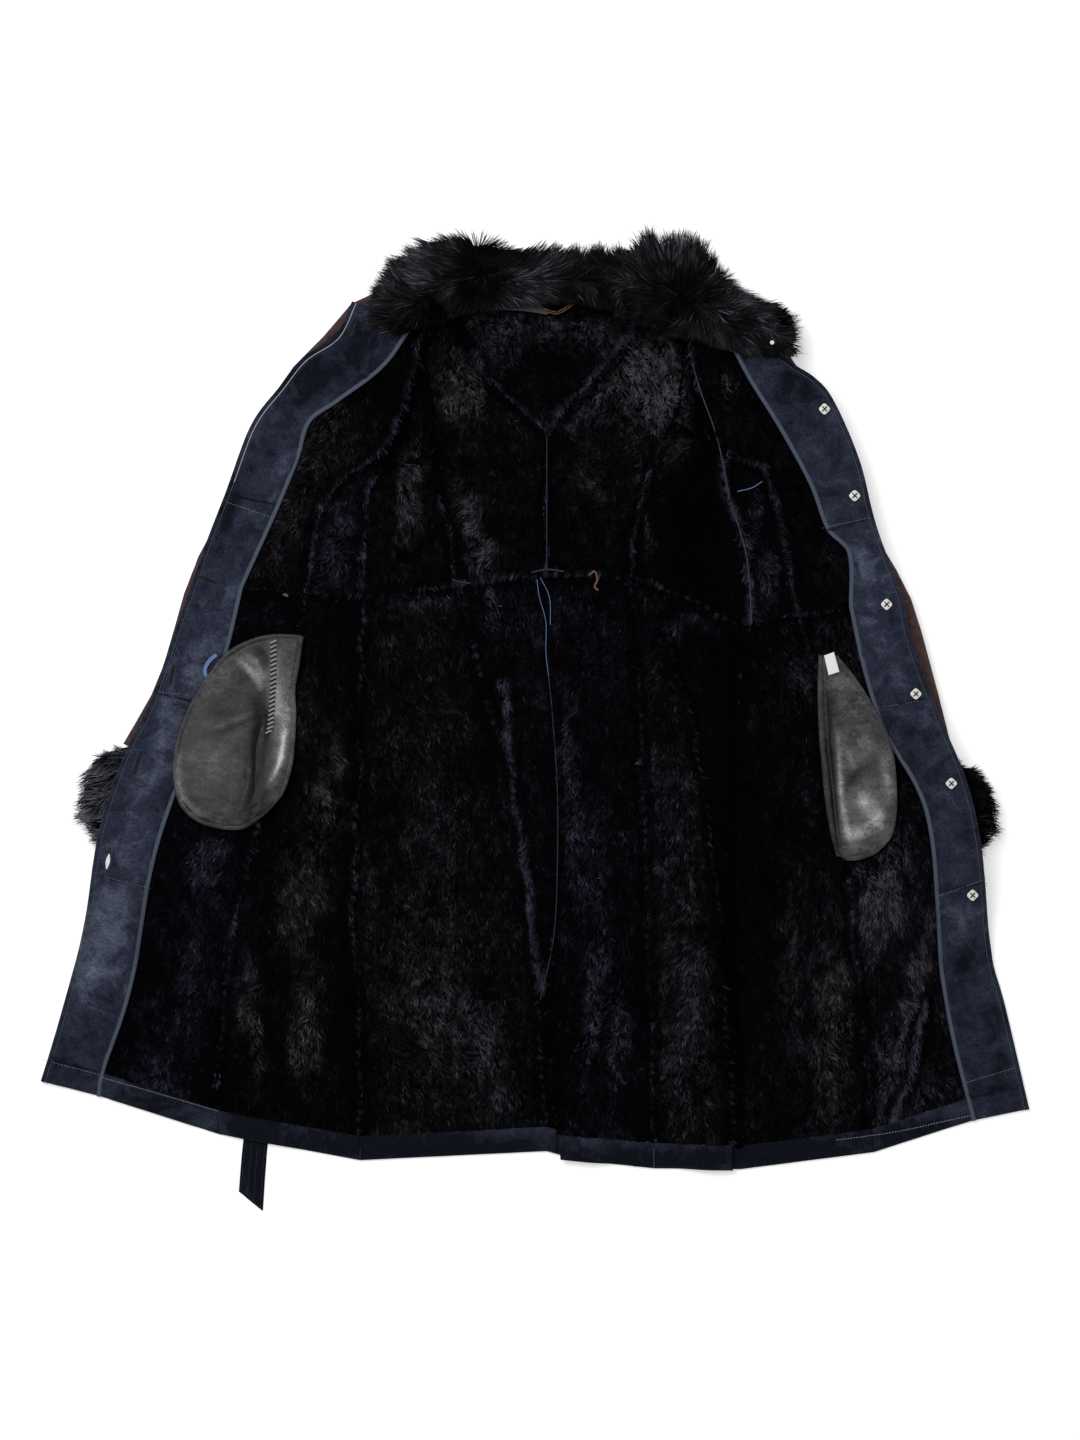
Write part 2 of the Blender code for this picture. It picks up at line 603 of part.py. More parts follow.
def build_pocket(side):
    """A leather pocket bag of two leaves, lying on the panels."""
    left, right = [smooth(edge, even(POCKET_ROWS)) for edge in POCKETS[side]["leaf"]]
    round_end = np.sin(math.pi * np.linspace(0.12, 0.9, POCKET_ROWS + 1)) ** 0.5
    out = POCKETS[side]["back_leaf_out"] * round_end
    if side == "left":
        back_left, back_right = left, right + out[:, None] * (1, 0)
    else:
        back_left, back_right = left - out[:, None] * (1, 0), right
    back = across(back_left, back_right, POCKET_COLUMNS)
    low = resting_height(back, BACK_LEAF_BRIDGE)
    sheet(f"pocket_{side}_back_leaf", back, low, low + POCKET_LEATHER, "black_leather")
    front = across(left, right, POCKET_COLUMNS)
    low = resting_height(front, POCKET_BRIDGE)
    sheet(f"pocket_{side}_front_leaf", front, low, low + POCKET_LEATHER, "black_leather")


def build_care_label():
    """The small blank label sewn on at the top of the right pocket."""
    grid = np.array(CARE_LABEL, float)
    low = resting_height(grid, LABEL_BRIDGE)
    sheet("care_label", grid, low, low + LABEL_THICK, "white_cloth")


def build_collar():
    """The long-fur collar: thin at its outline, full in the middle."""
    grid = across(smooth(COLLAR_TOP, even(COLLAR_COLUMNS)),
                  smooth(COLLAR_BOTTOM, even(COLLAR_COLUMNS)), COLLAR_ROWS)
    low = resting_height(grid, COLLAR_BRIDGE)
    swell = np.sin(math.pi * even(COLLAR_ROWS)) ** 0.7
    ends = np.sin(math.pi * np.linspace(0.04, 0.96, COLLAR_COLUMNS + 1)) ** 0.35
    fur = COLLAR_EDGE + (COLLAR_FUR - COLLAR_EDGE) * ends[:, None] * swell[None, :]
    sheet("fur_collar", grid, low, low + fur, "black_long_fur")


def build_hanger():
    """The hanging chain at the neck, as the smooth line of its links."""
    points = smooth(HANGER, even(12))
    low = np.max(resting_height(points[None, :], 4))
    curve = bpy.data.curves.new("hanging_chain", "CURVE")
    curve.dimensions = "3D"
    curve.bevel_depth = HANGER_RADIUS * MM
    curve.bevel_resolution = 2
    curve.use_fill_caps = True
    line = curve.splines.new("POLY")
    line.points.add(len(points) - 1)
    for point, (x, y) in zip(line.points, points):
        point.co = (x * MM, y * MM, (low + HANGER_RADIUS) * MM, 1)
    curve.materials.append(material("aged_bronze"))
    bpy.context.collection.objects.link(bpy.data.objects.new("hanging_chain", curve))
    crest = [Vector((x, y + side, low + 2 * HANGER_RADIUS)) for x, y in points for side in (-9, 9)]
    built["hanging_chain"] = (crest, [[k, k + 1, k + 2] for k in range(len(crest) - 2)])


def seat_disc(name, surface, place, facing, size, stuff):
    """A round flat button against the cloth: on it where facing is 1, under it where it is -1."""
    across_it, thick = size
    start = Vector((*place, 500 * facing))
    seat, normal = surface.ray_cast(start, Vector((0, 0, -facing)))[:2]
    along = normal.orthogonal().normalized()
    beside_it = normal.cross(along)
    clearance = 0
    for share in (0.5, 1.0):
        for k in range(16):
            turn = math.tau * k / 16
            rim = seat + share * across_it / 2 * (math.cos(turn) * along + math.sin(turn) * beside_it)
            hit = surface.ray_cast(rim + 40 * normal, -normal)[0]
            if hit:
                clearance = max(clearance, (hit - seat).dot(normal))
    shell = bmesh.new()
    bmesh.ops.create_cone(shell, cap_ends=True, cap_tris=True, segments=16,
                          radius1=across_it / 2, radius2=across_it / 2, depth=thick)
    turn = Vector((0, 0, 1)).rotation_difference(normal)
    bmesh.ops.rotate(shell, cent=(0, 0, 0), matrix=turn.to_matrix(), verts=shell.verts)
    bmesh.ops.translate(shell, vec=seat + normal * (clearance + GAP + thick / 2), verts=shell.verts)
    return add_object(name, shell, stuff, lies_under=False)


def build_buttons():
    """Backing buttons on the right facing, and the outer buttons under the same front."""
    facings = surface_of([n for n in built if n.startswith("facing_right")])
    fronts = surface_of(["front_right", "front_skirt_right"])
    for number, place in enumerate(BUTTONS, 1):
        seat_disc(f"backing_button_{number}", facings, place, 1, (BUTTON_BACK, BUTTON_BACK_THICK),
                  "ivory_plastic")
        seat_disc(f"outer_button_{number}", fronts, place, -1, (BUTTON, BUTTON_THICK),
                  "brown_suede")


def build_belt():
    """The tie belt's left end: it hangs from the side seam under the coat, past the hem."""
    sides = smooth([(*a, *b) for a, b in BELT], even(24))
    grid = across(sides[:, :2], sides[:, 2:], 2)
    flat = np.zeros(grid.shape[:2])
    sheet("belt", grid, flat, flat + BELT_THICK, "navy_suede")


clear_scene()
for hand in ("left", "right"):
    build_sleeve(hand)
    build_cuff(hand)
build_belt()
build_bodice()
build_skirt()
for hand in ("left", "right"):
    build_front(hand)
for hand in ("left", "right"):
    build_pocket(hand)
build_care_label()
build_buttons()
build_hanger()
build_collar()
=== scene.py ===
"""A sheepskin coat laid open on its back, lining side up, as in the photograph.

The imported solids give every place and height. Each skin below is a finer copy of its solid, with
its pile, nap, seams, stitches and small fittings added. Tables are in millimetres, from the middle
of the coat; MM turns them into metres.
"""

import math

import bmesh
import bpy
import numpy as np
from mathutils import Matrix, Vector
from mathutils.bvhtree import BVHTree
from mathutils.kdtree import KDTree


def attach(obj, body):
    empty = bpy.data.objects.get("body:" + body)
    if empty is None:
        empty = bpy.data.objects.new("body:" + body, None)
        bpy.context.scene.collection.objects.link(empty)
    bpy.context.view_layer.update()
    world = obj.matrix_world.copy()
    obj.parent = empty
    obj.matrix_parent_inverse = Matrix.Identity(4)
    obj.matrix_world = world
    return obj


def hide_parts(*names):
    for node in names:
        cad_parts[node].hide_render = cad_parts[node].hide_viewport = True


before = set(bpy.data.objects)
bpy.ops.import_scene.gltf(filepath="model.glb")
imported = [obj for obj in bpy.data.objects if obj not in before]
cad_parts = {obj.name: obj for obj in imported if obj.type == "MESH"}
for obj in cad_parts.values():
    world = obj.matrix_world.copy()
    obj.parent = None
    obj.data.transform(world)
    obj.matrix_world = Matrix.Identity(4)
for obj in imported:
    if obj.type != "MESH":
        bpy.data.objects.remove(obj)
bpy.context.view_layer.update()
MM = 0.001

# ==== Shearling panels ============================================================================
# Eighteen panels of dyed sheepskin, sewn skin side out and pile side in, so that the clipped pile
# is the lining. Skin and pile are 7 to 9 mm thick, and the pile is combed toward the hem. It parts
# in a soft groove at each seam, where bluish tufts stand up. The pile's highlights, and the shade
# in its grooves and hollows, are painted into the colour of its locks.
PILE_DEPTH = 3.2            # the skin lies this far under the pile's tips
PILE_REACH = 6.8            # length of a lock of pile
LOCK_WIDTH = 1.6
LOCKS_PER_MM2 = 0.59
SEAM_GROOVE = 4.5           # the pile parts this far from a seam
OVERHEAD = 300.0            # rays start this high, well over the coat
BENEATH = -50               # the height from which a ray looks up for a solid's underside
UPWARD = 0.5                # faces whose normal rises more than this are a sheet's upper side
TUCKED = 1.2                # cloth under another piece is pressed down by this
THINNEST = 1.2              # a soft sheet is never drawn thinner than this
ABOVE_TABLE = 0.4           # the lowest that a lock of fur may lie
TAPER = 0.55                # how much a lock narrows before its tip
ROOT_LIGHT = 0.25           # a lock's colour is painted this dark at its root, as shade where no light reaches


def linear(code):
    """Linear colour of an sRGB hex code."""
    channels = np.array([int(code[i:i + 2], 16) / 255 for i in (0, 2, 4)])
    return np.where(channels <= 0.04045, channels / 12.92, ((channels + 0.055) / 1.055) ** 2.4)


def add(tree, kind, inputs=(), **settings):
    """Adds a shader node with its settings, and its inputs set or linked."""
    made = tree.nodes.new("ShaderNode" + kind)
    for name, value in settings.items():
        setattr(made, name, value)
    for name, value in dict(inputs).items():
        if isinstance(value, bpy.types.NodeSocket):
            tree.links.new(value, made.inputs[name])
        else:
            made.inputs[name].default_value = value
    return made


def finish_named(name, **sockets):
    """A material with one Principled shader: its tree and that shader."""
    made = bpy.data.materials.new(name)
    made.use_nodes = True
    shader = made.node_tree.nodes["Principled BSDF"]
    for socket, value in sockets.items():
        shader.inputs[socket.replace("_", " ")].default_value = value
    return made, made.node_tree, shader


def mottled(name, lump, tones, detail=2.0, roughness=0.5, **sockets):
    """A material whose colour wanders between tones, rows of position and linear colour, in lumps of
    that size in mm: it and its tree, shader, Object coordinates and lumps."""
    made, tree, shader = finish_named(name, **sockets)
    where = add(tree, "TexCoord").outputs["Object"]
    lumps = add(tree, "TexNoise", {"Vector": where, "Scale": 1 / (lump * MM), "Detail": detail,
                                   "Roughness": roughness}).outputs["Fac"]
    shades = add(tree, "ValToRGB", {"Fac": lumps})
    for element, (position, colour) in zip(shades.color_ramp.elements, tones):
        element.position, element.color = position, (*colour, 1)
    tree.links.new(shades.outputs["Color"], shader.inputs["Base Color"])
    return made, tree, shader, where, lumps


def cloud(places, size, seed):
    """Smooth noise from -1 to 1 over (x, y) places in mm, in lumps of about that size."""
    table = np.random.default_rng(seed).uniform(-1, 1, (256, 256))
    cell = np.asarray(places)[:, :2] / size
    low = np.floor(cell).astype(int)
    part = cell - low
    part = part * part * (3 - 2 * part)
    (i, j), (k, m) = low.T % 256, (low.T + 1) % 256
    across, along = part.T
    return ((table[i, j] * (1 - across) + table[k, j] * across) * (1 - along)
            + (table[i, m] * (1 - across) + table[k, m] * across) * along)


def smooth(points, count):
    """That many points, evenly spaced, of a Catmull-Rom curve through the given ones."""
    p = np.array(points, float)
    p = np.vstack([2 * p[0] - p[1], p, 2 * p[-1] - p[-2]])
    t = np.linspace(0, 1, 16, endpoint=False)[:, None]
    fine = [0.5 * (2 * b + (c - a) * t + (2 * a - 5 * b + 4 * c - d) * t ** 2
                   + (3 * b - a - 3 * c + d) * t ** 3) for a, b, c, d in zip(p, p[1:], p[2:], p[3:])]
    fine = np.vstack(fine + [p[-2:-1]])
    length = np.r_[0, np.cumsum(np.linalg.norm(np.diff(fine, axis=0), axis=1))]
    at = np.linspace(0, length[-1], count)
    return np.stack([np.interp(at, length, column) for column in fine.T], axis=1)


solid_names = sorted(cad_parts)
corners, triangles, owners = [], [], []
for name in solid_names:
    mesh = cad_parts[name].data
    start = len(corners)
    corners += [v.co / MM for v in mesh.vertices]
    triangles += [[start + i for i in face.vertices] for face in mesh.polygons]
    owners += [name] * len(mesh.polygons)
whole_coat = BVHTree.FromPolygons(corners, triangles)


def top_of(x, y):
    """What lies uppermost at a place: its node, height and normal."""
    hit = whole_coat.ray_cast(Vector((x, y, OVERHEAD)), Vector((0, 0, -1)))
    return (owners[hit[2]], hit[0].z, hit[1]) if hit[0] else (None, 0.0, Vector((0, 0, 1)))


def away_from(places, line, count):
    """How far each place lies from that many points of a smooth line: the least distances, and
    which point is the nearest."""
    points = smooth(line, count)
    away = np.linalg.norm(places[:, None, :2] - points[None], axis=2)
    return np.min(away, axis=1), np.argmin(away, axis=1)


# Soft ridges (+) and troughs (-) in the drape: height, half width, and the line they follow.
CREASES = [
    (5.0, 11, [(-302, 300), (-313, 266), (-320, 235), (-330, 210), (-342, 179), (-353, 144),
               (-365, 109), (-374, 78), (-387, 41), (-398, 5)]),
    (-2.5, 9, [(-318, 300), (-331, 262), (-338, 232), (-347, 205), (-358, 176), (-368, 140)]),
    (-2.2, 8, [(-240, 350), (-262, 330), (-285, 300)]),
    (3.0, 12, [(-195, 428), (-205, 415), (-215, 395)]),
    (-2.5, 8, [(345, 225), (362, 212), (376, 205)]),
    (3.0, 14, [(322, 205), (338, 195), (352, 185)]),
    (2.5, 14, [(450, -205), (470, -250), (487, -290)]),
    (-2.0, 10, [(470, -215), (490, -245)]),
    (2.5, 12, [(458, -300), (490, -330), (510, -372)]),
    (3.0, 16, [(-203, -150), (-208, -260), (-199, -365)]),
    (2.5, 14, [(-60, 40), (-44, -30), (-35, -120)]),
    (-3.0, 10, [(355, -160), (330, -157), (318, -165)]),
    (3.5, 16, [(368, -170), (386, -215), (392, -300)]),
    (2.5, 16, [(-262, -190), (-250, -260), (-236, -330)]),
    (3.0, 18, [(75, -250), (92, -310), (84, -390)]),
    (2.5, 14, [(15, 250), (15, 160)]),
]


def drape(places):
    """How far the creases raise or lower the cloth at each place, in mm."""
    rise = np.zeros(len(places))
    for height, half_width, line in CREASES:
        away, _ = away_from(places, line, 24)
        rise += height * np.exp(-(away / half_width) ** 2)
    return rise


def drape_none(places):
    """A piece that has no creases of its own."""
    return np.zeros(len(places))


def skin_of(node, longest, lowered=0.0, passes=10, creases=drape, waves=0.0, rim=(1.0, 2.0)):
    """A fine copy of a sheet's solid: its upper side cut small, softened, creased, waved and lowered,
    with its rim drawn down by the first number over the width of the second."""
    skin = bmesh.new()
    skin.from_mesh(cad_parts[node].data)
    bmesh.ops.scale(skin, vec=(1 / MM,) * 3, verts=skin.verts)
    bmesh.ops.remove_doubles(skin, verts=skin.verts, dist=0.002)
    skin.normal_update()
    for _ in range(4):
        upper = [f for f in skin.faces if f.normal.z > UPWARD]
        long_edges = {e for f in upper for e in f.edges if e.calc_length() > longest}
        if not long_edges:
            break
        bmesh.ops.subdivide_edges(skin, edges=list(long_edges), cuts=1, use_grid_fill=True)
        bmesh.ops.triangulate(skin, faces=[f for f in skin.faces if len(f.verts) > 3])
    skin.normal_update()
    skin.verts.index_update()
    upper = [f for f in skin.faces if f.normal.z > UPWARD]
    place = np.array([v.co for v in skin.verts])
    inner = np.array([[e.verts[0].index, e.verts[1].index]
                      for e in {e for f in upper for e in f.edges}])
    on_top = np.zeros(len(place), bool)
    on_top[inner] = True
    counts = np.maximum(np.bincount(inner.ravel(), minlength=len(place)), 1)
    height = place[:, 2].copy()
    for _ in range(passes):
        total = np.zeros(len(place))
        np.add.at(total, inner[:, 0], height[inner[:, 1]])
        np.add.at(total, inner[:, 1], height[inner[:, 0]])
        height = np.where(on_top, (height + total / counts) / 2, height)
    seen = np.array([top_of(x, y)[0] == node for x, y in place[:, :2]])
    rise = creases(place)
    rise = np.where(seen, rise, np.minimum(rise, 0) - TUCKED)
    if waves:
        rise += waves * cloud(place, 34, 5) + 0.5 * waves * cloud(place, 15, 6)
    edge_of = {v.index for v in skin.verts if on_top[v.index]
               and any(f.normal.z <= UPWARD for f in v.link_faces)}
    outline = KDTree(len(edge_of))
    for index in edge_of:
        outline.insert(Vector((*place[index, :2], 0)), index)
    outline.balance()
    away = np.array([outline.find(Vector((x, y, 0)))[2] for x, y, _ in place])
    rise -= rim[0] * np.exp(-(away / rim[1]) ** 2)
    floor = place[:, 2].min()
    place[:, 2] = np.where(on_top, np.maximum(height - lowered + rise, floor + THINNEST), place[:, 2])
    for vertex, point in zip(skin.verts, place):
        vertex.co = point
    skin.normal_update()
    return skin


def piece(name, shell, stuff, smooth_shaded=True):
    """The finished object of a bmesh in mm, riding on the coat's one body."""
    bmesh.ops.scale(shell, vec=(MM,) * 3, verts=shell.verts)
    mesh = bpy.data.meshes.new(name)
    shell.to_mesh(mesh)
    shell.free()
    return mesh_piece(name, mesh, stuff, smooth_shaded)


def mesh_piece(name, mesh, stuff, smooth_shaded=True):
    """The finished object of a mesh in metres."""
    mesh.materials.clear()
    mesh.materials.append(stuff)
    mesh.polygons.foreach_set("use_smooth", [smooth_shaded] * len(mesh.polygons))
    made = bpy.data.objects.new(name, mesh)
    bpy.context.scene.collection.objects.link(made)
    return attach(made, "root")


def cut_of(node, thickness):
    """The flat cut of a sheet: its width and length along its own run, and its area, in metres."""
    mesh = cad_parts[node].data
    places = np.array([v.co for v in mesh.vertices])
    _, axes = np.linalg.eigh(np.cov((places - places.mean(axis=0))[:, :2].T))
    spans = np.ptp(places[:, :2] @ axes, axis=0)
    shell = bmesh.new()
    shell.from_mesh(mesh)
    area = shell.calc_volume() / (thickness * MM)
    shell.free()
    return (float(spans[0]), float(spans[1])), min(area, float(spans[0] * spans[1]))


def declare(made, node, thickness):
    """Hides the solid that a piece stands for, once its cut has been measured; the cut is not kept."""
    flat, area = cut_of(node, thickness)
    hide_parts(node)
    return made


def fur_mesh(name, roots, ways, lengths, widths, colours, bends, segments):
    """Locks of fur as one mesh: narrow ribbons that rise from their roots and lie over."""
    count = len(roots)
    up = np.tile((0.0, 0.0, 1.0), (count, 1))
    side = np.cross(ways, up)
    side /= np.maximum(np.linalg.norm(side, axis=1), 1e-6)[:, None]
    shares = np.arange(segments) / segments
    rows = []
    for share in shares:
        middle = roots + ways * (lengths * share)[:, None] + bends * share ** 2
        half = side * (widths * (1 - TAPER * share) / 2)[:, None]
        rows += [middle - half, middle + half]
    rows.append(roots + ways * lengths[:, None] + bends)
    points = np.stack(rows, axis=1)                         # lock, corner, xyz
    points[:, :, 2] = np.maximum(points[:, :, 2], ABOVE_TABLE)
    corners_each = 2 * segments + 1
    faces = []
    for k in range(segments - 1):
        a = 2 * k
        faces += [(a, a + 1, a + 3), (a, a + 3, a + 2)]
    faces.append((2 * segments - 2, 2 * segments - 1, 2 * segments))
    order = (np.arange(count)[:, None, None] * corners_each + np.array(faces)[None]).reshape(-1)
    mesh = bpy.data.meshes.new(name)
    mesh.vertices.add(count * corners_each)
    mesh.vertices.foreach_set("co", (points * MM).reshape(-1))
    mesh.loops.add(len(order))
    mesh.loops.foreach_set("vertex_index", order.astype(np.int32))
    mesh.polygons.add(len(order) // 3)
    mesh.polygons.foreach_set("loop_start", np.arange(0, len(order), 3, dtype=np.int32))
    mesh.update(calc_edges=True)
    mesh.validate()
    # Painted shade: each lock's colour darkens toward its root.
    shade = np.repeat(np.r_[shares, 1.0] ** 0.8, [2] * segments + [1])
    dye_and_painted_light = mesh.color_attributes.new("dye_and_painted_light", "FLOAT_COLOR", "POINT")
    tinted = colours[:, None, :] * (ROOT_LIGHT + (1 - ROOT_LIGHT) * shade)[None, :, None]
    dye_and_painted_light.data.foreach_set("color", np.dstack([tinted, np.ones(tinted.shape[:2])]).reshape(-1))
    return mesh


def scattered(shell, per_mm2, seed, keep):
    """Roots spread evenly over a shell's faces: places, normals, and the vertices' blend."""
    rng = np.random.default_rng(seed)
    shell.verts.index_update()
    place = np.array([v.co for v in shell.verts])
    normal = np.array([v.normal for v in shell.verts])
    faces = np.array([[v.index for v in f.verts] for f in shell.faces if keep(f)])
    a, b, c = (place[faces[:, k]] for k in range(3))
    areas = np.linalg.norm(np.cross(b - a, c - a), axis=1) / 2
    chosen = rng.choice(len(faces), int(areas.sum() * per_mm2), p=areas / areas.sum())
    u, v = rng.random((2, len(chosen)))
    flip = u + v > 1
    u, v = np.where(flip, 1 - u, u), np.where(flip, 1 - v, v)
    blend = np.stack([1 - u - v, u, v], axis=1)[:, :, None]
    return ((place[faces[chosen]] * blend).sum(axis=1), (normal[faces[chosen]] * blend).sum(axis=1),
            faces[chosen], blend[:, :, 0])


# Where the pile catches the light: (x, y), half width, half length, lean in degrees, how strong,
# and how warm it is, from 0 for blue to 1 for brown.
LIGHTS = [
    (-77, 374, 27, 32, 12, 0.75, 0.75), (-50, 415, 30, 24, -20, 0.55, 0.25),
    (128, 378, 38, 42, -15, 1.25, 0.70), (90, 420, 26, 20, 30, 0.5, 0.6),
    (150, 330, 22, 44, 10, 0.6, 0.6), (60, 365, 18, 26, -40, 0.6, 0.2),
    (-138, 258, 9, 60, 8, 0.8, 0.7), (-68, 222, 16, 56, -12, 0.6, 0.65),
    (-50, 160, 12, 46, -10, 0.45, 0.5), (60, 285, 16, 40, -15, 0.3, 0.6),
    (118, 250, 7, 60, -10, 0.5, 0.5), (-20, 330, 12, 18, 0, 0.25, 0.5),
    (212, 374, 12, 12, 0, 0.45, 0.9), (235, 210, 10, 40, 6, 0.5, 0.2),
    (250, 150, 10, 46, 10, 0.45, 0.2), (-240, 300, 60, 70, 20, 0.22, 0.85),
    (-290, 210, 30, 60, 20, 0.25, 0.6), (-215, 205, 28, 60, 12, 0.35, 0.05),
    (-255, 30, 18, 60, 0, 0.3, 0.6), (-230, -60, 14, 60, 6, 0.35, 0.7),
    (-258, -185, 24, 60, 8, 0.5, 0.8), (-232, -90, 20, 40, 0, 0.4, 0.85),
    (-253, -330, 16, 60, 4, 0.65, 0.8), (-312, -330, 9, 60, -3, 0.5, 0.75),
    (-200, -150, 6, 120, 0, 0.5, 0.55), (-120, -300, 44, 110, -18, 0.32, 0.7),
    (-60, -360, 24, 70, -24, 0.35, 0.6), (-110, -120, 30, 100, -10, 0.18, 0.6),
    (-375, -260, 26, 90, 12, 0.30, 0.05), (-352, -145, 22, 26, 40, 0.5, 0.05),
    (-415, -390, 26, 30, 0, 0.4, 0.05), (-330, -250, 14, 80, 6, 0.4, 0.05),
    (66, -300, 11, 80, 6, 0.75, 0.15), (92, -345, 10, 60, 4, 0.5, 0.3),
    (35, -60, 14, 90, -4, 0.4, 0.05), (60, -150, 20, 70, 4, 0.3, 0.1),
    (165, -330, 26, 150, 3, 0.38, 0.6), (160, -100, 16, 90, 8, 0.25, 0.5),
    (128, -150, 5, 160, 2, 0.3, 0.4), (376, -190, 26, 60, 8, 0.9, 0.45),
    (420, -280, 10, 80, 12, 0.9, 0.5), (330, -330, 18, 110, 4, 0.4, 0.75),
    (395, -400, 28, 60, 0, 0.55, 0.4), (288, -250, 12, 90, 0, 0.2, 0.6),
    (300, 60, 26, 26, 0, 0.35, 0.5), (20, 120, 40, 24, 0, 0.25, 0.0),
    (150, 110, 50, 14, -6, 0.35, 0.15), (-130, 140, 70, 10, 2, 0.35, 0.2),
    (270, 112, 40, 12, 10, 0.35, 0.3), (0, 440, 80, 16, 0, 0.4, 0.5),
    (30, 340, 50, 12, 0, 0.35, 0.5), (38, -40, 8, 60, 0, 0.5, 0.2), (-20, -120, 10, 110, -8, 0.5, 0.15),
]
# Where shade is painted into the pile's colour, in hollows and under overhangs: (x, y), half width, half
# length, lean in degrees, and how strong.
PILE_SHADE_PATCHES = [(18, 400, 44, 30, 0, 0.9), (180, 240, 30, 120, 0, 0.7), (235, -200, 40, 230, 2, 0.75),
         (-50, -20, 26, 80, 10, 0.6), (-160, -180, 30, 160, 0, 0.35), (-300, 60, 60, 40, 0, 0.4),
         (60, 250, 40, 60, 0, 0.4), (-165, 380, 22, 60, 20, 0.7), (300, 240, 30, 120, 10, 0.4)]
# Seams and edges, where the pile stands up in a bluish ridge with a painted highlight: half width, how strong
# that highlight is, and line.
RIDGES = [
    (4, 0.60, [(-98, 470), (-64, 402), (-21, 355), (14, 326)]),
    (5, 0.85, [(127, 470), (92, 417), (64, 385), (32, 350), (16, 326)]),
    (2, 0.90, [(15, 325), (13, 246), (13, 167)]),
    (3, 0.65, [(-113, 301), (-99, 227), (-85, 156)]),
    (3, 0.70, [(158, 338), (128, 285), (113, 227), (108, 164)]),
    (4, 0.40, [(-118, 452), (-130, 406), (-142, 359), (-158, 317), (-180, 290)]),
    (4, 0.60, [(-180, 290), (-217, 266), (-241, 216), (-251, 145)]),
    (3, 0.60, [(-170, 279), (-185, 246), (-188, 206), (-190, 140)]),
    (3, 0.45, [(170, 450), (172, 400), (185, 343), (206, 307), (248, 285)]),
    (4, 1.0, [(201, 311), (214, 248), (232, 185), (238, 113)]),
    (4, 0.60, [(248, 285), (267, 238), (277, 178), (290, 121)]),
    (4, 0.60, [(-318, 152), (-252, 144), (-190, 141), (-85, 156), (13, 167), (108, 163),
               (142, 150), (238, 112), (290, 121), (345, 128)]),
    (3, 0.70, [(-251, 145), (-275, -18), (-305, -114), (-338, -256), (-348, -355), (-351, -448)]),
    (3, 0.80, [(-190, 140), (-196, -69), (-203, -219), (-197, -332), (-194, -470)]),
    (3, 0.55, [(-85, 156), (-53, 22), (-26, -57), (-11, -189), (3, -309), (12, -440)]),
    (2, 0.50, [(13, 167), (18, 54), (24, -31), (24, -136), (19, -256), (15, -340), (24, -440)]),
    (3, 0.70, [(108, 164), (116, 26), (124, -182), (129, -332), (132, -470)]),
    (2, 0.60, [(142, 150), (150, 75), (169, 22), (188, -84), (198, -163), (208, -295),
               (218, -470)]),
    (2, 0.45, [(238, 113), (226, 33), (216, -84), (213, -163), (218, -295), (226, -470)]),
    (3, 0.70, [(290, 121), (316, 26), (336, -117), (343, -182), (359, -295), (374, -455)]),
    (5, 1.0, [(-35, 46), (-22, -89), (-2, -223), (8, -291)]),
    (4, 1.3, [(432, -305), (420, -370), (400, -440)]),
]
PATCH_SHINE, RIDGE_SHINE = 0.32, 0.55       # how light the patches and the ridges are
GROOVE_SHADE, DEEPEST_SHADE = 0.75, 0.92    # how much darker it is beside a ridge, and at most
PILE_BLACK, PILE_BROWN, PILE_BLUE = linear("010102"), linear("605a5b"), linear("46485f")


def patches(places, table, spread=1.0):
    """How strongly each row of a table of soft oval patches covers each place."""
    found = []
    for x, y, half_width, half_length, lean, strength, *_ in table:
        turn = math.radians(lean)
        dx, dy = places[:, 0] - x, places[:, 1] - y
        across = (dx * math.cos(turn) - dy * math.sin(turn)) / (half_width * spread)
        along = (dx * math.sin(turn) + dy * math.cos(turn)) / (half_length * spread)
        found.append(strength * np.exp(-(across ** 2 + along ** 2) ** 1.3))
    return np.array(found)


def pile_colours(places, rng, dyed_warm, shine):
    """Colour of each lock: near black, with highlights painted in brown-grey and bluish patches and on
    the seams' ridges, and shade painted beside the ridges and in dark places.
    """
    wander = places[:, :2] + 9 * np.stack([cloud(places, 22, 31), cloud(places, 22, 32)], axis=1)
    glow = patches(wander, LIGHTS)
    glow_sum = glow.sum(axis=0)
    warmth = np.array([row[6] for row in LIGHTS])
    warm = (glow * warmth[:, None]).sum(axis=0) / np.maximum(glow_sum, 1e-3)
    ridge, groove = np.zeros(len(places)), np.ones(len(places))
    near = 0.65 * places[:, :2] + 0.35 * wander
    for half_width, strength, line in RIDGES:
        away, _ = away_from(near, line, 60)
        ridge = np.maximum(ridge, strength * np.exp(-(away / half_width) ** 2))
        beside = np.exp(-((away - half_width - 4.5) / 4) ** 2)
        groove = np.minimum(groove, 1 - GROOVE_SHADE * beside)
    combed = places[:, :2] * (1, 0.45)
    dark = 1 - np.minimum(patches(wander, PILE_SHADE_PATCHES).sum(axis=0), DEEPEST_SHADE)
    light = shine * (1 + 0.5 * cloud(places, 45, 33)) * dark
    light = (light + PATCH_SHINE * np.clip(glow_sum, 0, 1.6) ** 1.2) * groove
    light = np.maximum(light, RIDGE_SHINE * ridge ** 1.2)
    tufts = (0.5 * cloud(places, 14, 35) + 0.85 * cloud(combed, 6, 36) + 1.1 * cloud(places, 3, 34)
             + rng.normal(0, 0.68, len(places))) * (1 - 0.5 * np.minimum(ridge, 1))
    warm = np.where(ridge > glow_sum, 0.2, np.where(glow_sum > 0.08, warm, dyed_warm))
    light = np.clip(light * np.exp(tufts), 0.002, 1.0)[:, None]
    lit = PILE_BROWN * warm[:, None] + PILE_BLUE * (1 - warm[:, None])
    return PILE_BLACK * (1 - np.minimum(light, 1)) + lit * light


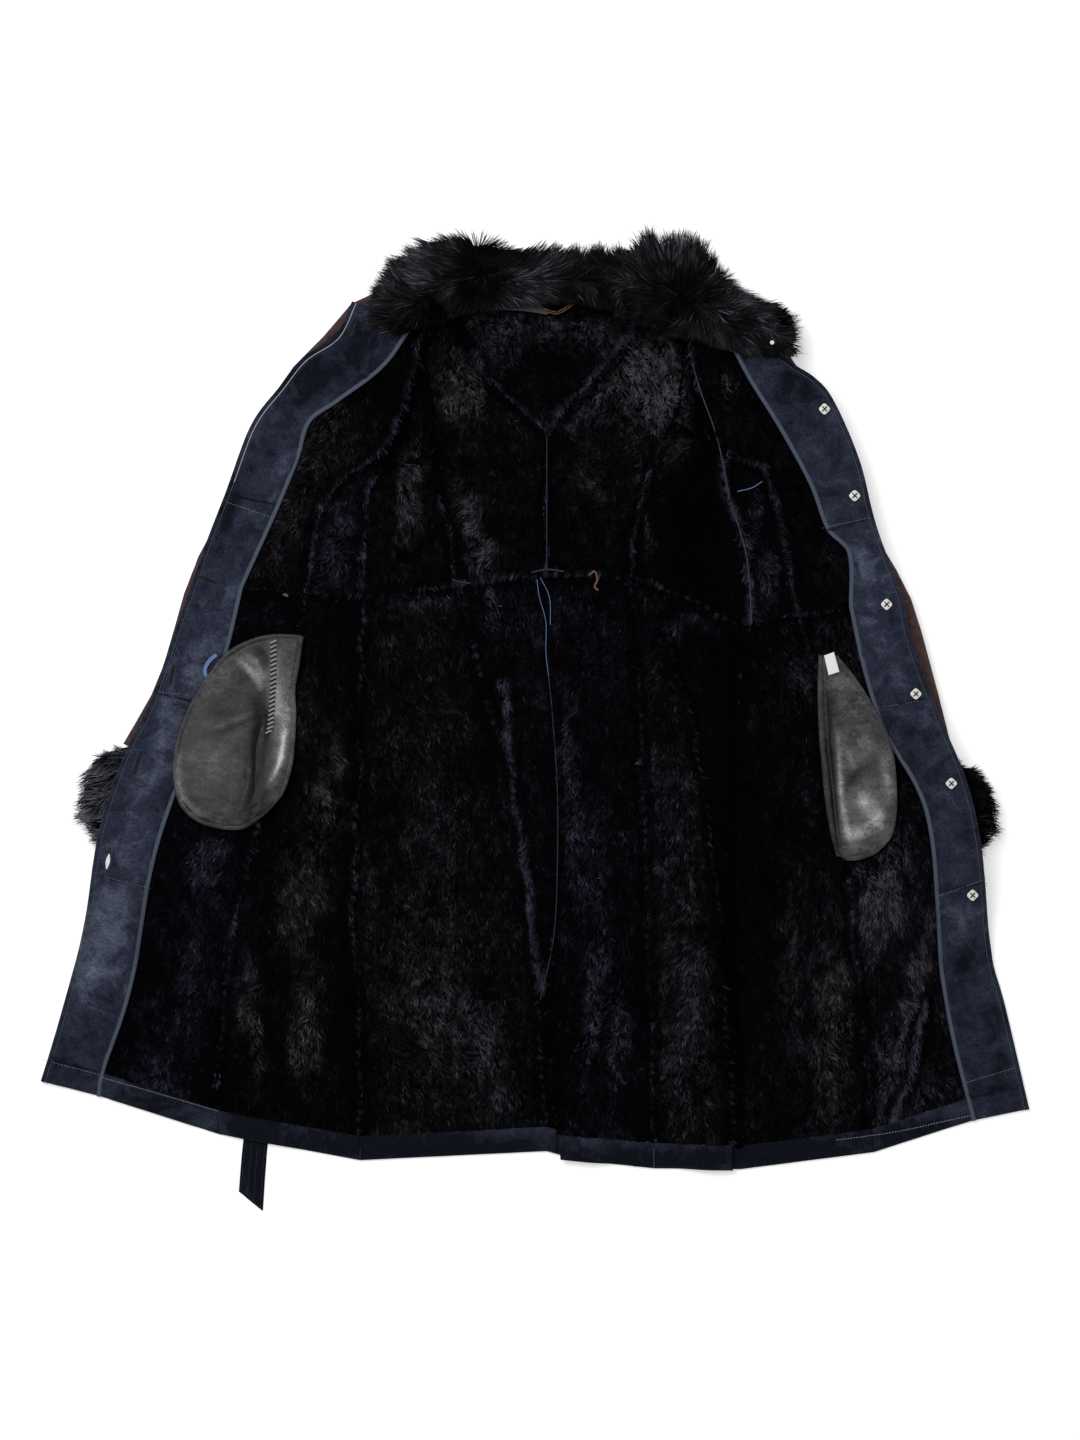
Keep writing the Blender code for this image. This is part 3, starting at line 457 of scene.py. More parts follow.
pile_stuff, tree, shader = finish_named(
    # Dyed sheepskin pile, clipped and ironed: matt black; each lock's colour carries its painted sheen,
    # highlights and shade.
    "clipped_sheepskin_pile", Roughness=0.6, Specular_IOR_Level=0.01)
dye_and_painted_light = add(tree, "Attribute", attribute_name="dye_and_painted_light")
tree.links.new(dye_and_painted_light.outputs["Color"], shader.inputs["Base Color"])

skin_stuff, tree, shader, where, crumb = mottled(
    # The same sheepskin close to the skin: dense underwool, nearly black, in small crumbs.
    "sheepskin_underwool", 4, [(0, linear("010102")), (1, linear("040406"))], detail=3.0,
    Roughness=0.9, Specular_IOR_Level=0.0)
bump = add(tree, "Bump", {"Height": crumb, "Distance": 1.5 * MM, "Strength": 0.6})
tree.links.new(bump.outputs["Normal"], shader.inputs["Normal"])

# Each panel: mean thickness of the cut in mm, turn of its comb, curl, warmth of its dye, and shine, the sheen
# painted into its pile.
PANELS = {
    "back_yoke": (9.3, 0, 1.5, 0.55, 0.028), "centre_back_left": (9.3, -4, 1.1, 0.85, 0.018),
    "centre_back_right": (9.3, 4, 1.1, 0.7, 0.020), "side_back_left": (9.1, -8, 1.0, 0.9, 0.016),
    "side_back_right": (9.1, 8, 0.9, 0.1, 0.007), "side_front_left": (9.0, -16, 1.0, 0.15, 0.026),
    "side_front_right": (9.0, 14, 0.9, 0.3, 0.015), "front_left": (7.0, -24, 0.9, 0.8, 0.014),
    "front_right": (7.0, 20, 0.8, 0.4, 0.018), "front_skirt_left": (7.2, -16, 0.9, 0.1, 0.019),
    "front_skirt_right": (7.2, 14, 0.7, 0.45, 0.045),
    "side_front_skirt_left": (9.3, -8, 0.8, 0.8, 0.010),
    "side_back_skirt_left": (9.3, 10, 0.6, 0.75, 0.032),
    "centre_back_skirt_left": (9.2, 6, 0.8, 0.3, 0.026),
    "centre_back_skirt_right": (9.2, -4, 0.8, 0.2, 0.022),
    "pleat_skirt_right": (9.2, 4, 0.6, 0.55, 0.034), "side_back_skirt_right": (9.2, 4, 0.7, 0.2, 0.007),
    "side_front_skirt_right": (9.3, 6, 0.8, 0.4, 0.026),
}


def clipped_pile(name, node, shell, comb, curl, warmth, shine, seed, within=None):
    """The pile of one panel, wherever its solid lies uppermost: short locks combed toward the hem and
    thrown about in curls. Over a tape, which has no solid, the node is None."""
    rng = np.random.default_rng(seed)
    roots, normals, _, _ = scattered(shell, LOCKS_PER_MM2, seed, lambda f: f.normal.z > 0.4)
    shown = np.array([top_of(x, y)[0] == node for x, y in roots[:, :2]], bool)
    if within:
        (x0, x1), (y0, y1) = within
        shown &= (roots[:, 0] > x0) & (roots[:, 0] < x1) & (roots[:, 1] > y0) & (roots[:, 1] < y1)
    roots, normals = roots[shown], normals[shown]
    sweep = (math.radians(-90 + comb) + 0.5 * cloud(roots, 60, 41) + curl * 0.8 * cloud(roots, 17, 42)
             + curl * 0.8 * cloud(roots, 6.5, 43) + rng.normal(0, 0.22, len(roots)))
    stand = 0.30 + 0.2 * cloud(roots, 10, 44) + rng.normal(0, 0.12, len(roots))
    ways = np.stack([np.cos(sweep) * np.cos(stand), np.sin(sweep) * np.cos(stand),
                     np.sin(stand)], axis=1) + 0.8 * (normals - (0, 0, 1))
    lengths = PILE_REACH * rng.uniform(0.6, 1.15, len(roots))
    bends = np.zeros((len(roots), 3))
    bends[:, 2] = -rng.uniform(0.5, 2.2, len(roots))
    bends[:, :2] = rng.normal(0, 1.0, (len(roots), 2))
    widths = LOCK_WIDTH * rng.uniform(0.6, 1.2, len(roots))
    colours = pile_colours(roots, rng, warmth, shine)
    mesh = fur_mesh(name, roots, ways, lengths, widths, colours, bends, 1)
    return mesh_piece(name, mesh, pile_stuff, smooth_shaded=False)


for number, (node, (thickness, comb, curl, warmth, shine)) in enumerate(PANELS.items()):
    shell = skin_of(node, 8.0, lowered=PILE_DEPTH, rim=(2.6, SEAM_GROOVE))
    clipped_pile("pile_" + node, node, shell, comb, curl, warmth, shine, 100 + number)
    declare(piece("skin_" + node, shell, skin_stuff), node, thickness)

# ==== Sleeves =====================================================================================
# Two-piece sleeves of the same sheepskin, worn suede side out, in a brown napped suede. They lie
# flat under the turned-out fronts, so only their outer edges and the dark armholes show.
brown_suede, tree, shader, where, _ = mottled(
    # Vegetable-tanned sheepskin, buffed to a nap: dull brown, mottled where the nap lies over.
    "buffed_brown_suede", 7, [(0.3, linear("2c2022")), (0.7, linear("4b3835"))], detail=6.0,
    roughness=0.7, Roughness=0.92, Specular_IOR_Level=0.12, Sheen_Weight=0.1)
fibre = add(tree, "TexNoise", {"Vector": where, "Scale": 1 / (1.2 * MM), "Detail": 2.0})
bump = add(tree, "Bump", {"Height": fibre.outputs["Fac"], "Distance": 0.3 * MM, "Strength": 0.5})
tree.links.new(bump.outputs["Normal"], shader.inputs["Normal"])
SLEEVE_THICK = 9.0
# Where the lining shows in each armhole: the ranges of x and y.
ARMHOLES = {"left": ((-176, -100), (270, 490)), "right": ((150, 250), (255, 490))}
for side in ("left", "right"):
    for wall in ("top", "under"):
        node = f"sleeve_{side}_{wall}"
        shell = skin_of(node, 12.0, passes=4, creases=drape_none, waves=1.0)
        clipped_pile("pile_" + node, node, shell, 0, 1.0, 0.2, 0.008, 140, ARMHOLES[side])
        made = piece("suede_" + node, shell, brown_suede)
        made.data.materials.append(skin_stuff)
        (x0, x1), (y0, y1) = ARMHOLES[side]
        for face in made.data.polygons:
            x, y, _ = face.center / MM
            face.material_index = int(x0 < x < x1 and y0 < y < y1 and face.normal.z > 0.2)
        declare(made, node, SLEEVE_THICK)

# ==== Facings and hem bands =======================================================================
# Navy suede, 2.5 mm thick, sewn over the shaved front edges and folded over the hem. Topstitched
# along the outer edge, bound with tape along the inner one, with seven worked buttonholes at left.
navy_suede, tree, shader = finish_named(
    # Fine navy suede with a brushed nap: matt and clouded where the nap has been stroked, with light
    # painted paler where it rakes over it and shade painted darker in places.
    "brushed_navy_suede", Roughness=0.95, Specular_IOR_Level=0.03, Sheen_Weight=0.03)
where = add(tree, "TexCoord").outputs["Object"]
nap_and_painted_light = add(tree, "Attribute", attribute_name="nap_and_painted_light").outputs["Fac"]
stroke = add(tree, "TexNoise", {"Vector": where, "Scale": 1 / (22 * MM), "Detail": 7.0,
                                "Roughness": 0.66, "Distortion": 0.6})
clouded = add(tree, "Math", {0: stroke.outputs["Fac"], 1: nap_and_painted_light}, operation="ADD")
shades = add(tree, "ValToRGB", {"Fac": clouded.outputs["Value"]})
shades.color_ramp.elements.new(0.6)
for element, (position, code) in zip(shades.color_ramp.elements,
                                     ((0.28, "0e1018"), (0.6, "272b39"), (1.0, "565b6d"))):
    element.position, element.color = position, (*linear(code), 1)
fibre = add(tree, "TexNoise", {"Vector": where, "Scale": 1 / (2.2 * MM), "Detail": 4.0,
                               "Roughness": 0.85})
speck = add(tree, "MapRange", {"Value": fibre.outputs["Fac"], "From Min": 0.32, "From Max": 0.68})
grain = add(tree, "Mix", {"Factor": 0.6, "A": shades.outputs["Color"],
                          "B": speck.outputs["Result"]}, data_type="RGBA", blend_type="OVERLAY")
tree.links.new(grain.outputs["Result"], shader.inputs["Base Color"])
bump = add(tree, "Bump", {"Height": fibre.outputs["Fac"], "Distance": 0.5 * MM, "Strength": 0.7})
tree.links.new(bump.outputs["Normal"], shader.inputs["Normal"])

FACING_THICK, HEM_THICK = 2.5, 6.0      # the hem is suede folded over the skin's edge
FACINGS = [f"facing_{side}_{number}" for side in ("left", "right") for number in (1, 2, 3, 4)]
HEM_BANDS = [n for n in solid_names if n.startswith("hem_band")]
# How the suede's nap lies, with light and shade painted in: soft oval places, paler (+) or darker (-) than
# the rest.
NAP_PATCHES_AND_PAINTED_LIGHT = [(-345, 110, 22, 90, 20, 0.10), (-405, -20, 24, 90, 20, 0.22), (-455, -160, 30, 60, 18, 0.12),
       (-480, -250, 28, 60, 14, 0.32), (-500, -350, 30, 40, 12, -0.06), (-290, 295, 16, 50, 25, -0.02),
       (-200, 410, 36, 30, 0, -0.28), (-250, 380, 24, 30, 0, -0.22), (-330, 250, 10, 60, 22, -0.2),
       (290, 380, 26, 30, 0, -0.16), (330, 300, 18, 40, -15, -0.02), (345, 235, 16, 30, -15, 0.02),
       (360, 165, 14, 40, -10, 0.14), (385, 80, 18, 50, -15, 0.10), (415, -15, 20, 30, -15, -0.10),
       (450, -110, 18, 50, -12, 0.12), (465, -215, 18, 30, -10, 0.22), (478, -262, 14, 20, 30, -0.18),
       (500, -355, 26, 50, -15, -0.05), (520, -400, 30, 16, 0, -0.05),
       (-60, -470, 90, 20, 0, -0.32), (120, -485, 90, 20, 0, -0.36), (300, -475, 90, 20, 0, -0.33),
       (-210, -465, 90, 20, 0, -0.28), (-410, -425, 70, 20, 0, -0.16), (-310, -480, 30, 90, 0, -0.3),
       (420, -455, 60, 20, 0, -0.2)]


def given(made, name, value_at):
    """Gives a piece a value at each of its points, as an attribute that its material reads."""
    places = np.array([v.co for v in made.data.vertices]) / MM
    made.data.attributes.new(name, "FLOAT", "POINT").data.foreach_set("value", value_at(places))
    return made


def with_nap_and_painted_light(made):
    """A suede piece with the lay of its nap, and its painted light and shade."""
    return given(made, "nap_and_painted_light", lambda places: patches(places, NAP_PATCHES_AND_PAINTED_LIGHT).T @ np.ones(len(NAP_PATCHES_AND_PAINTED_LIGHT))
                 + 0.06 * cloud(places, 70, 61))


for node in FACINGS:
    shell = skin_of(node, 5.0, passes=14, rim=(0.5, 1.5))
    made = with_nap_and_painted_light(piece("suede_" + node, shell, navy_suede))
    declare(made, node, FACING_THICK)
for node in HEM_BANDS:
    shell = skin_of(node, 6.0, passes=6, rim=(1.2, 3.0), waves=0.5)
    declare(with_nap_and_painted_light(piece("suede_" + node, shell, navy_suede)), node, HEM_THICK)

EDGES = {       # the inner and outer edges of the facings, above and below the waist
    "left_inner": ([(-130, 444), (-165, 393), (-217, 353), (-247, 331), (-260, 290), (-286, 227),
                    (-321, 150)],
                   [(-321, 150), (-338, 78), (-363, -1), (-396, -85), (-419, -161), (-449, -299),
                    (-477, -383), (-482, -413)]),
    "left_outer": ([(-201, 464), (-219, 427), (-254, 403), (-280, 371), (-312, 328), (-340, 254),
                    (-359, 205), (-374, 162)],
                   [(-374, 162), (-397, 97), (-424, 20), (-446, -25), (-475, -110), (-497, -215),
                    (-528, -330), (-548, -396)]),
    "right_inner": ([(208, 430), (233, 381), (268, 324), (301, 263), (320, 213), (343, 186),
                     (345, 128)],
                    [(345, 128), (360, 59), (382, -8), (424, -89), (440, -199), (449, -276),
                     (463, -353), (485, -440)]),
    "right_outer": ([(243, 428), (281, 397), (307, 380), (328, 354), (356, 289), (374, 219),
                     (403, 139)],
                    [(403, 139), (415, 84), (444, 9), (471, -61), (487, -130), (505, -252),
                     (521, -312), (548, -427)]),
}


def surface_of(names):
    """Settles (x, y) lines on finished pieces: gives a function from places to points on them."""
    points, faces = [], []
    for name in names:
        mesh = bpy.data.objects[name].data
        start = len(points)
        points += [v.co / MM for v in mesh.vertices]
        faces += [[start + i for i in f.vertices] for f in mesh.polygons]
    tree = BVHTree.FromPolygons(points, faces)

    def settle(line, lift=0.0):
        found = []
        for x, y in line:
            hit = tree.ray_cast(Vector((x, y, OVERHEAD)), Vector((0, 0, -1)))[0]
            hit = hit or tree.find_nearest(Vector((x, y, 25)))[0]
            found.append((x, y, hit.z + lift))
        return np.array(found)
    return settle


def aside(line, distance):
    """A line moved sideways, to its left as it runs."""
    along = np.gradient(line[:, :2], axis=0)
    along /= np.linalg.norm(along, axis=1)[:, None]
    return line[:, :2] + distance * np.stack([-along[:, 1], along[:, 0]], axis=1)


def laid(name, runs, half_width, half_thick, stuff, upright=False, pointed=False):
    """Tape, cord or thread along runs of points in mm, as one mesh: flat, or stood on its edge."""
    curve = bpy.data.curves.new(name, "CURVE")
    curve.dimensions = "3D"
    curve.twist_mode = "Z_UP"
    curve.extrude = max(half_width - half_thick, 0) * MM
    curve.bevel_depth = half_thick * MM
    curve.bevel_resolution = 1
    curve.use_fill_caps = True
    for run in runs:
        line = curve.splines.new("POLY")
        line.points.add(len(run) - 1)
        for share, point, place in zip(np.linspace(0.05, 0.95, len(run)), line.points, run):
            point.co = (*(np.array(place) * MM), 1)
            point.radius = math.sin(math.pi * share) if pointed else 1
            point.tilt = 0 if upright else math.pi / 2
    holder = bpy.data.objects.new(name, curve)
    mesh = bpy.data.meshes.new_from_object(holder)
    bpy.data.objects.remove(holder)
    return mesh_piece(name, mesh, stuff)


def stitches(name, runs, pitch, stitch, thick, stuff):
    """Machine stitches along runs of points: each a little spindle of thread, in one mesh."""
    centres, alongs = [], []
    for run in runs:
        run = np.asarray(run, float)
        length = np.linalg.norm(np.diff(run, axis=0), axis=1).sum()
        dots = smooth(run, max(int(length / pitch), 2))
        centres.append(dots)
        alongs.append(np.gradient(dots, axis=0))
    centres, alongs = np.vstack(centres), np.vstack(alongs)
    alongs /= np.linalg.norm(alongs, axis=1)[:, None]
    sides = np.stack([-alongs[:, 1], alongs[:, 0], np.zeros(len(alongs))], axis=1)
    ups = np.tile((0.0, 0.0, 1.0), (len(alongs), 1))
    spokes = [alongs * stitch / 2, sides * thick / 2, ups * thick / 2]
    points = np.stack([centres + sign * spoke for spoke in spokes for sign in (1, -1)], axis=1)
    eight = [(a, b, c) if (a + b + c) % 2 == 0 else (a, c, b)
             for a in (0, 1) for b in (2, 3) for c in (4, 5)]
    faces = (np.arange(len(centres))[:, None, None] * 6 + np.array(eight)[None]).reshape(-1, 3)
    mesh = bpy.data.meshes.new(name)
    mesh.from_pydata((points * MM).reshape(-1, 3).tolist(), [], faces.tolist())
    return mesh_piece(name, mesh, stuff)


def thread_of(name, code):
    """Thread, tape or piping of one dyed colour: matt, with its weave or twist as 3 mm flecks,
    coarser than the real ones so that they show."""
    return mottled(name, 3, [(0, linear(code) * 0.55), (1, linear(code))], Roughness=0.7,
                   Specular_IOR_Level=0.2)[0]


navy_thread, pale_thread = thread_of("navy_thread", "485064"), thread_of("undyed_thread", "9aa0ae")
binding_tape = thread_of("grosgrain_binding", "454d5d")
on_facings = surface_of(["suede_" + n for n in FACINGS + HEM_BANDS])
bindings, rolls, edge_lines, edge_stitches = [], [], [], []
for side, hand in (("left", 1), ("right", -1)):
    inner = np.vstack([smooth(part, 90)[k:] for k, part in enumerate(EDGES[side + "_inner"])])
    outer = np.vstack([smooth(part, 90)[k:] for k, part in enumerate(EDGES[side + "_outer"])])
    bindings.append(on_facings(aside(inner, -1.7 * hand), -0.5))
    rolls.append(on_facings(aside(outer, 2.4 * hand), -0.7))
    edge_lines.append(on_facings(aside(outer, 5.3 * hand), 0.0))
    edge_stitches.append(on_facings(aside(outer, 8.0 * hand), 0.1))
laid("binding_tape", bindings, 2.4, 1.1, binding_tape)
with_nap_and_painted_light(laid("edge_roll", rolls, 2.4, 1.3, navy_suede))
laid("edge_seam_left", [edge_lines[0][:62]], 0.55, 0.45, pale_thread)
laid("edge_seam", [edge_lines[0][61:], edge_lines[1]], 0.4, 0.4, binding_tape)
stitches("edge_stitches", edge_stitches, 3.2, 2.2, 0.7, navy_thread)

CROSS_SEAMS = [[(-340, 244), (-290, 227)], [(-421, 36), (-391, 33)], [(-486, -164), (-422, -180)],
               [(-543, -373), (-481, -389)], [(316, 215), (371, 227)], [(378, 18), (419, 25)],
               [(441, -189), (492, -170)], [(476, -398), (534, -380)]]
stitches("cross_stitches", [on_facings(smooth(seam, 14), 0.1) for seam in CROSS_SEAMS], 3.0, 2.3,
         0.8, pale_thread)

# Each buttonhole: its two ends and how far it gapes, in mm.
BUTTONHOLES = [(-197, 445, -204, 427, 1.4), (-268, 374, -262, 360, 0.8), (-317, 282, -314, 270, 1.0),
               (-372, 163, -349, 155, 2.2), (-396, 65, -400, 44, 1.8), (-431, -30, -438, -55, 2.0),
               (-465, -139, -470, -162, 4.0)]
# Black thread for sewing the buttons on, and the same black for strips of painted shade in slits and valleys.
dark_thread_and_painted_shade = thread_of("black_thread_and_painted_shade", "050507")
paper_behind = thread_of("white_paper_behind_slit", "f2f2f2")
lips, slits = [], []
for x0, y0, x1, y1, gape in BUTTONHOLES:
    line = smooth([(x0, y0), (x1, y1)], 9)
    bow = np.sin(np.linspace(0, math.pi, 9))
    along = np.array([x1 - x0, y1 - y0]) / math.hypot(x1 - x0, y1 - y0)
    sideways = np.array([-along[1], along[0]])
    for hand in (1, -1):
        lips.append(on_facings(line + hand * (1.9 + gape / 2 * bow)[:, None] * sideways, 0.2))
    slits.append(on_facings(line, 0.1))
stitches("buttonhole_lips", lips, 1.1, 1.0, 1.3, navy_thread)
# The closed slits are dark strips of painted shade.
laid("buttonhole_slit_shade", slits[:-1], 1.7, 0.5, dark_thread_and_painted_shade)
laid("open_buttonhole", [slits[-1][1:-1]], 2.4, 0.5, paper_behind, pointed=True)

# ==== Tapes, loops and seams on the lining =======================================================
# Narrow tapes and loops that the maker sewed over the pile: cotton tape round the armholes and the
# back of the neck, a blue piping down the centre back, and small suede and cloth loops.
neck_cotton = thread_of("worn_neck_tape", "45454c")
front_edge_and_highlight = thread_of("skin_edge_with_painted_highlight", "3b3a44")
blue_piping = thread_of("blue_skin_edge", "232b3c")
sky_cloth = thread_of("pale_blue_lining_cloth", "6078a6")
tan_suede = thread_of("tan_suede_thong", "6a4a40")
ARMHOLE_TAPES = [[(-127, 410), (-126, 394), (-122, 370), (-118, 346), (-114, 322), (-113, 308)],
                 [(-112, 312), (-120, 302), (-130, 298), (-141, 292), (-152, 286)],
                 [(170, 428), (169, 400), (168, 380), (165, 365), (161, 350), (159, 336)],
                 [(157, 338), (168, 328), (178, 319), (186, 313), (199, 301), (212, 288)],
                 [(-92, 454), (-86, 443), (-78, 430), (-70, 416)]]
ARMHOLE_HEIGHT = 4.4
tape = laid("armhole_tape", [np.column_stack([smooth(line, 24), np.full(24, ARMHOLE_HEIGHT)])
                             for line in ARMHOLE_TAPES], 7.5, 1.4, skin_stuff)
shell = bmesh.new()
shell.from_mesh(tape.data)
bmesh.ops.scale(shell, vec=(1 / MM,) * 3, verts=shell.verts)
bmesh.ops.triangulate(shell, faces=shell.faces)
clipped_pile("pile_armhole_tape", None, shell, 0, 1.0, 0.3, 0.012, 150)
shell.free()
lining = surface_of(["skin_" + n for n in PANELS])
# The seams' tapes lie under the skins, so that no table shows between two panels.
UNDER_SKIN, LOWEST_TAPE = -4.5, 1.6
seam_tapes = [lining(smooth(line, 34), UNDER_SKIN) for _, _, line in RIDGES]
laid("seam_tape", [np.maximum(tape, (-1e3, -1e3, LOWEST_TAPE)) for tape in seam_tapes], 4.5, 0.9,
     skin_stuff)
# The collar's stand and its seam allowance close the gap between the collar and the yoke.
STAND_HEIGHT, ALLOWANCE_HEIGHT = 9.0, 3.0       # of the middle of each
stand = smooth([(-118, 452), (-80, 468), (-33, 474), (14, 480), (69, 476), (121, 464), (170, 440)],
               60)
laid("collar_stand", [np.column_stack([stand, np.full(60, STAND_HEIGHT)])], 7, 1.0, skin_stuff,
     upright=True)
laid("collar_seam_allowance", [np.column_stack([aside(stand, -6), np.full(60, ALLOWANCE_HEIGHT)])],
     15, 1.0, skin_stuff)
# Each trim: its name, half width and half thickness, its stuff, and its runs, each with how many
# points it has, how far it lies over the skin, and its line.
TRIMS = [
    # The right front's raised skin edge: its pale colour is a painted highlight.
    ("right_front_edge", 0.7, 0.6, front_edge_and_highlight, [
        (90, 1.6, [(166, 430), (179, 374), (201, 311), (214, 248), (232, 185), (238, 112)])]),
    ("neck_tape", 2.8, 0.7, neck_cotton, [
        (30, 3.4, [(-72, 464), (-40, 462), (-12, 460), (14, 456)])]),
    ("centre_back_piping", 0.6, 0.5, blue_piping, [
        (90, 2.0, [(15, 53), (20, 0), (25, -89), (22, -223), (6, -305)]),
        (50, 3.0, [(13, 318), (13, 246), (13, 170)])]),
    ("centre_thread", 0.4, 0.4, sky_cloth, [
        (40, 3.8, [(2, 160), (5, 140), (12, 113), (12, 80), (15, 53)]),
        (20, 3.6, [(6, 162), (16, 140), (17, 110)])]),
    ("inner_pocket_line", 0.5, 0.45, sky_cloth, [(16, 3.0, [(222, 255), (238, 259), (249, 266)])]),
    ("suede_thong", 1.2, 0.9, tan_suede, [
        (20, 4.5, [(60, 165), (66, 169), (69, 160), (66, 152), (70, 148)])]),
    ("suede_thong_end", 1.5, 1.0, tan_suede, [(6, 4.5, [(-276, 141), (-274, 142), (-271, 140)])]),
    ("waist_piping", 1.0, 0.7, blue_piping, [
        (12, 4.0, [(-92, 160), (-82, 157), (-72, 156)]),
        (16, 4.0, [(-4, 168), (13, 171), (32, 169)])]),
]
for name, half_width, half_thick, stuff, runs in TRIMS:
    laid(name, [lining(smooth(line, count), lift) for count, lift, line in runs], half_width,
         half_thick, stuff)
on_hems = surface_of(["suede_" + n for n in HEM_BANDS])
HEM_TOPS = [[(-479, -392), (-420, -409), (-352, -429)], [(335, -461), (400, -452), (482, -434)]]
stitches("raw_hem_edge", [on_hems(smooth(line, 30), 0.2) for line in HEM_TOPS], 3.0, 2.6, 1.1,
         pale_thread)

# ==== Pocket bags =================================================================================
# Each pocket is a bag of two leaves of thin black glove leather, sewn round and bound, lying loose
# on the lining. Handling has left it glossy and crumpled.
glove_leather, tree, shader = finish_named(
    # Aniline-dyed glove leather with a polished grain: soft broad gloss, fine pebble, with highlights
    # painted on its folds' crowns and shade painted in their troughs.
    "polished_glove_leather", Roughness=0.42, Specular_IOR_Level=0.13)
where = add(tree, "TexCoord").outputs["Object"]
pebble = add(tree, "TexVoronoi", {"Vector": where, "Scale": 1 / (1.3 * MM)}, feature="F1")
crumple = add(tree, "TexNoise", {"Vector": where, "Scale": 1 / (26 * MM), "Detail": 5.0,
                                 "Roughness": 0.45, "Distortion": 0.4})
painted_leather_light = add(tree, "Attribute", attribute_name="painted_leather_light").outputs["Fac"]
creased = add(tree, "TexNoise", {"Vector": where, "Scale": 1 / (7 * MM), "Detail": 6.0,
                                 "Roughness": 0.75, "Distortion": 1.5})
uneven = add(tree, "MapRange", {"Value": creased.outputs["Fac"], "From Min": 0.3, "From Max": 0.7,
                                "To Min": -0.11, "To Max": 0.11})
painted_light_tone = add(tree, "Math", {0: painted_leather_light, 1: uneven.outputs["Result"]}, operation="ADD")
tone = add(tree, "Math", {0: pebble.outputs["Distance"], 1: -0.16, 2: painted_light_tone.outputs["Value"]},
           operation="MULTIPLY_ADD")
shades = add(tree, "ValToRGB", {"Fac": tone.outputs["Value"]})
shades.color_ramp.elements[0].color = (*linear("040404"), 1)
shades.color_ramp.elements[1].color = (*linear("b4b2b2"), 1)
for position, code in ((0.25, "161616"), (0.45, "303030"), (0.65, "545354"), (0.82, "807f80")):
    shades.color_ramp.elements.new(position).color = (*linear(code), 1)
tree.links.new(shades.outputs["Color"], shader.inputs["Base Color"])
fold = add(tree, "Bump", {"Height": crumple.outputs["Fac"], "Distance": 2.5 * MM, "Strength": 0.8})
bump = add(tree, "Bump", {"Height": pebble.outputs["Distance"], "Distance": 0.2 * MM,
                          "Strength": 0.4, "Normal": fold.outputs["Normal"]})
tree.links.new(bump.outputs["Normal"], shader.inputs["Normal"])
# Folds of the leather: height, half width, how much highlight (+) or shade (-) is painted on its crown, and
# the line that it follows.
POCKET_FOLDS = [
    (-2.4, 7, -0.62, [(-302, 25), (-298, 0), (-302, -29), (-304, -60), (-312, -98)]),
    (0.8, 4, 0.20, [(-287, 84), (-285, 41), (-288, 9), (-291, -19)]),
    (1.2, 9, 0.34, [(-277, 78), (-277, 25), (-274, 0), (-280, -32), (-291, -66)]),
    (0.8, 2, 0.40, [(-273, -7), (-280, -44), (-293, -69)]),
    (1.6, 4, 0.45, [(-326, 72), (-312, 56), (-299, 34)]),
    (1.2, 3, 0.35, [(-318, 76), (-304, 66), (-295, 44)]),
    (-1.2, 4, -0.2, [(-322, 62), (-310, 44), (-304, 34)]),
    (-1.0, 3, -0.2, [(-308, 84), (-298, 74), (-292, 60)]),
    (0.6, 3, 0.30, [(-389, -29), (-390, -60), (-381, -85), (-362, -101)]),
    (1.0, 3, 0.25, [(-309, -22), (-310, -60), (-318, -91)]),
    (0.6, 2, 0.15, [(-353, -7), (-331, 3), (-306, 12)]),
    (-0.6, 3, -0.1, [(-350, -14), (-330, -6), (-308, 2)]),
    (-1.6, 4, -0.45, [(320, 31), (325, 0), (323, -34), (328, -137)]),
    (1.2, 3, 0.35, [(328, 4), (332, -27), (333, -51), (335, -89), (344, -134)]),
    (0.8, 14, 0.15, [(334, 55), (342, 30)]), (-1.2, 6, -0.25, [(339, -75), (352, -58), (363, -51)]),
    (1.4, 7, 0.45, [(352, -75), (369, -96), (379, -116)]), (-0.8, 4, -0.2, [(364, -84), (371, -100)]),
    (0.8, 9, 0.3, [(350, -108), (354, -128)]), (0.6, 4, 0.25, [(382, -34), (387, -86)]),
    (0.8, 3, 0.15, [(338, -20), (345, -35), (350, -50)]), (0.6, 5, 0.1, [(360, -10), (366, -30)]),
]
# Broad places where highlight (+) or shade (-) is painted on the leather: (x, y), half width, half length,
# lean and strength.
LEATHER_LIGHT_PATCHES = [(-353, -44, 20, 18, 0, 0.12), (-350, 47, 20, 25, 0, 0.08), (-335, 20, 22, 22, 0, -0.06),
          (354, -60, 50, 110, 0, 0.12)]


def pocket_folds(places, column=0):
    """How far the folds raise the leather at each place, in mm, or with column 2 how much highlight or shade
    is painted on them.
    """
    total = np.zeros(len(places))
    for row in POCKET_FOLDS:
        away, nearest = away_from(places, row[3], 40)
        ends = np.sin(math.pi * np.linspace(0.06, 0.94, 40)[nearest]) ** 0.8
        spread = row[1] * (1.5 if column else 1.0)
        total += row[column] * ends * np.exp(-(away / spread) ** 2)
    return total


def with_painted_leather_light(made):
    """A leather piece with highlights and shade painted into its colour, over a random grain of tone."""
    def shine(places):
        grain = 0.06 * cloud(places, 12, 72) + 0.05 * cloud(places * (1, 1.8, 1), 6, 73)
        return 0.47 + grain + pocket_folds(places, 2) + patches(places, LEATHER_LIGHT_PATCHES).sum(axis=0)
    return given(made, "painted_leather_light", shine)


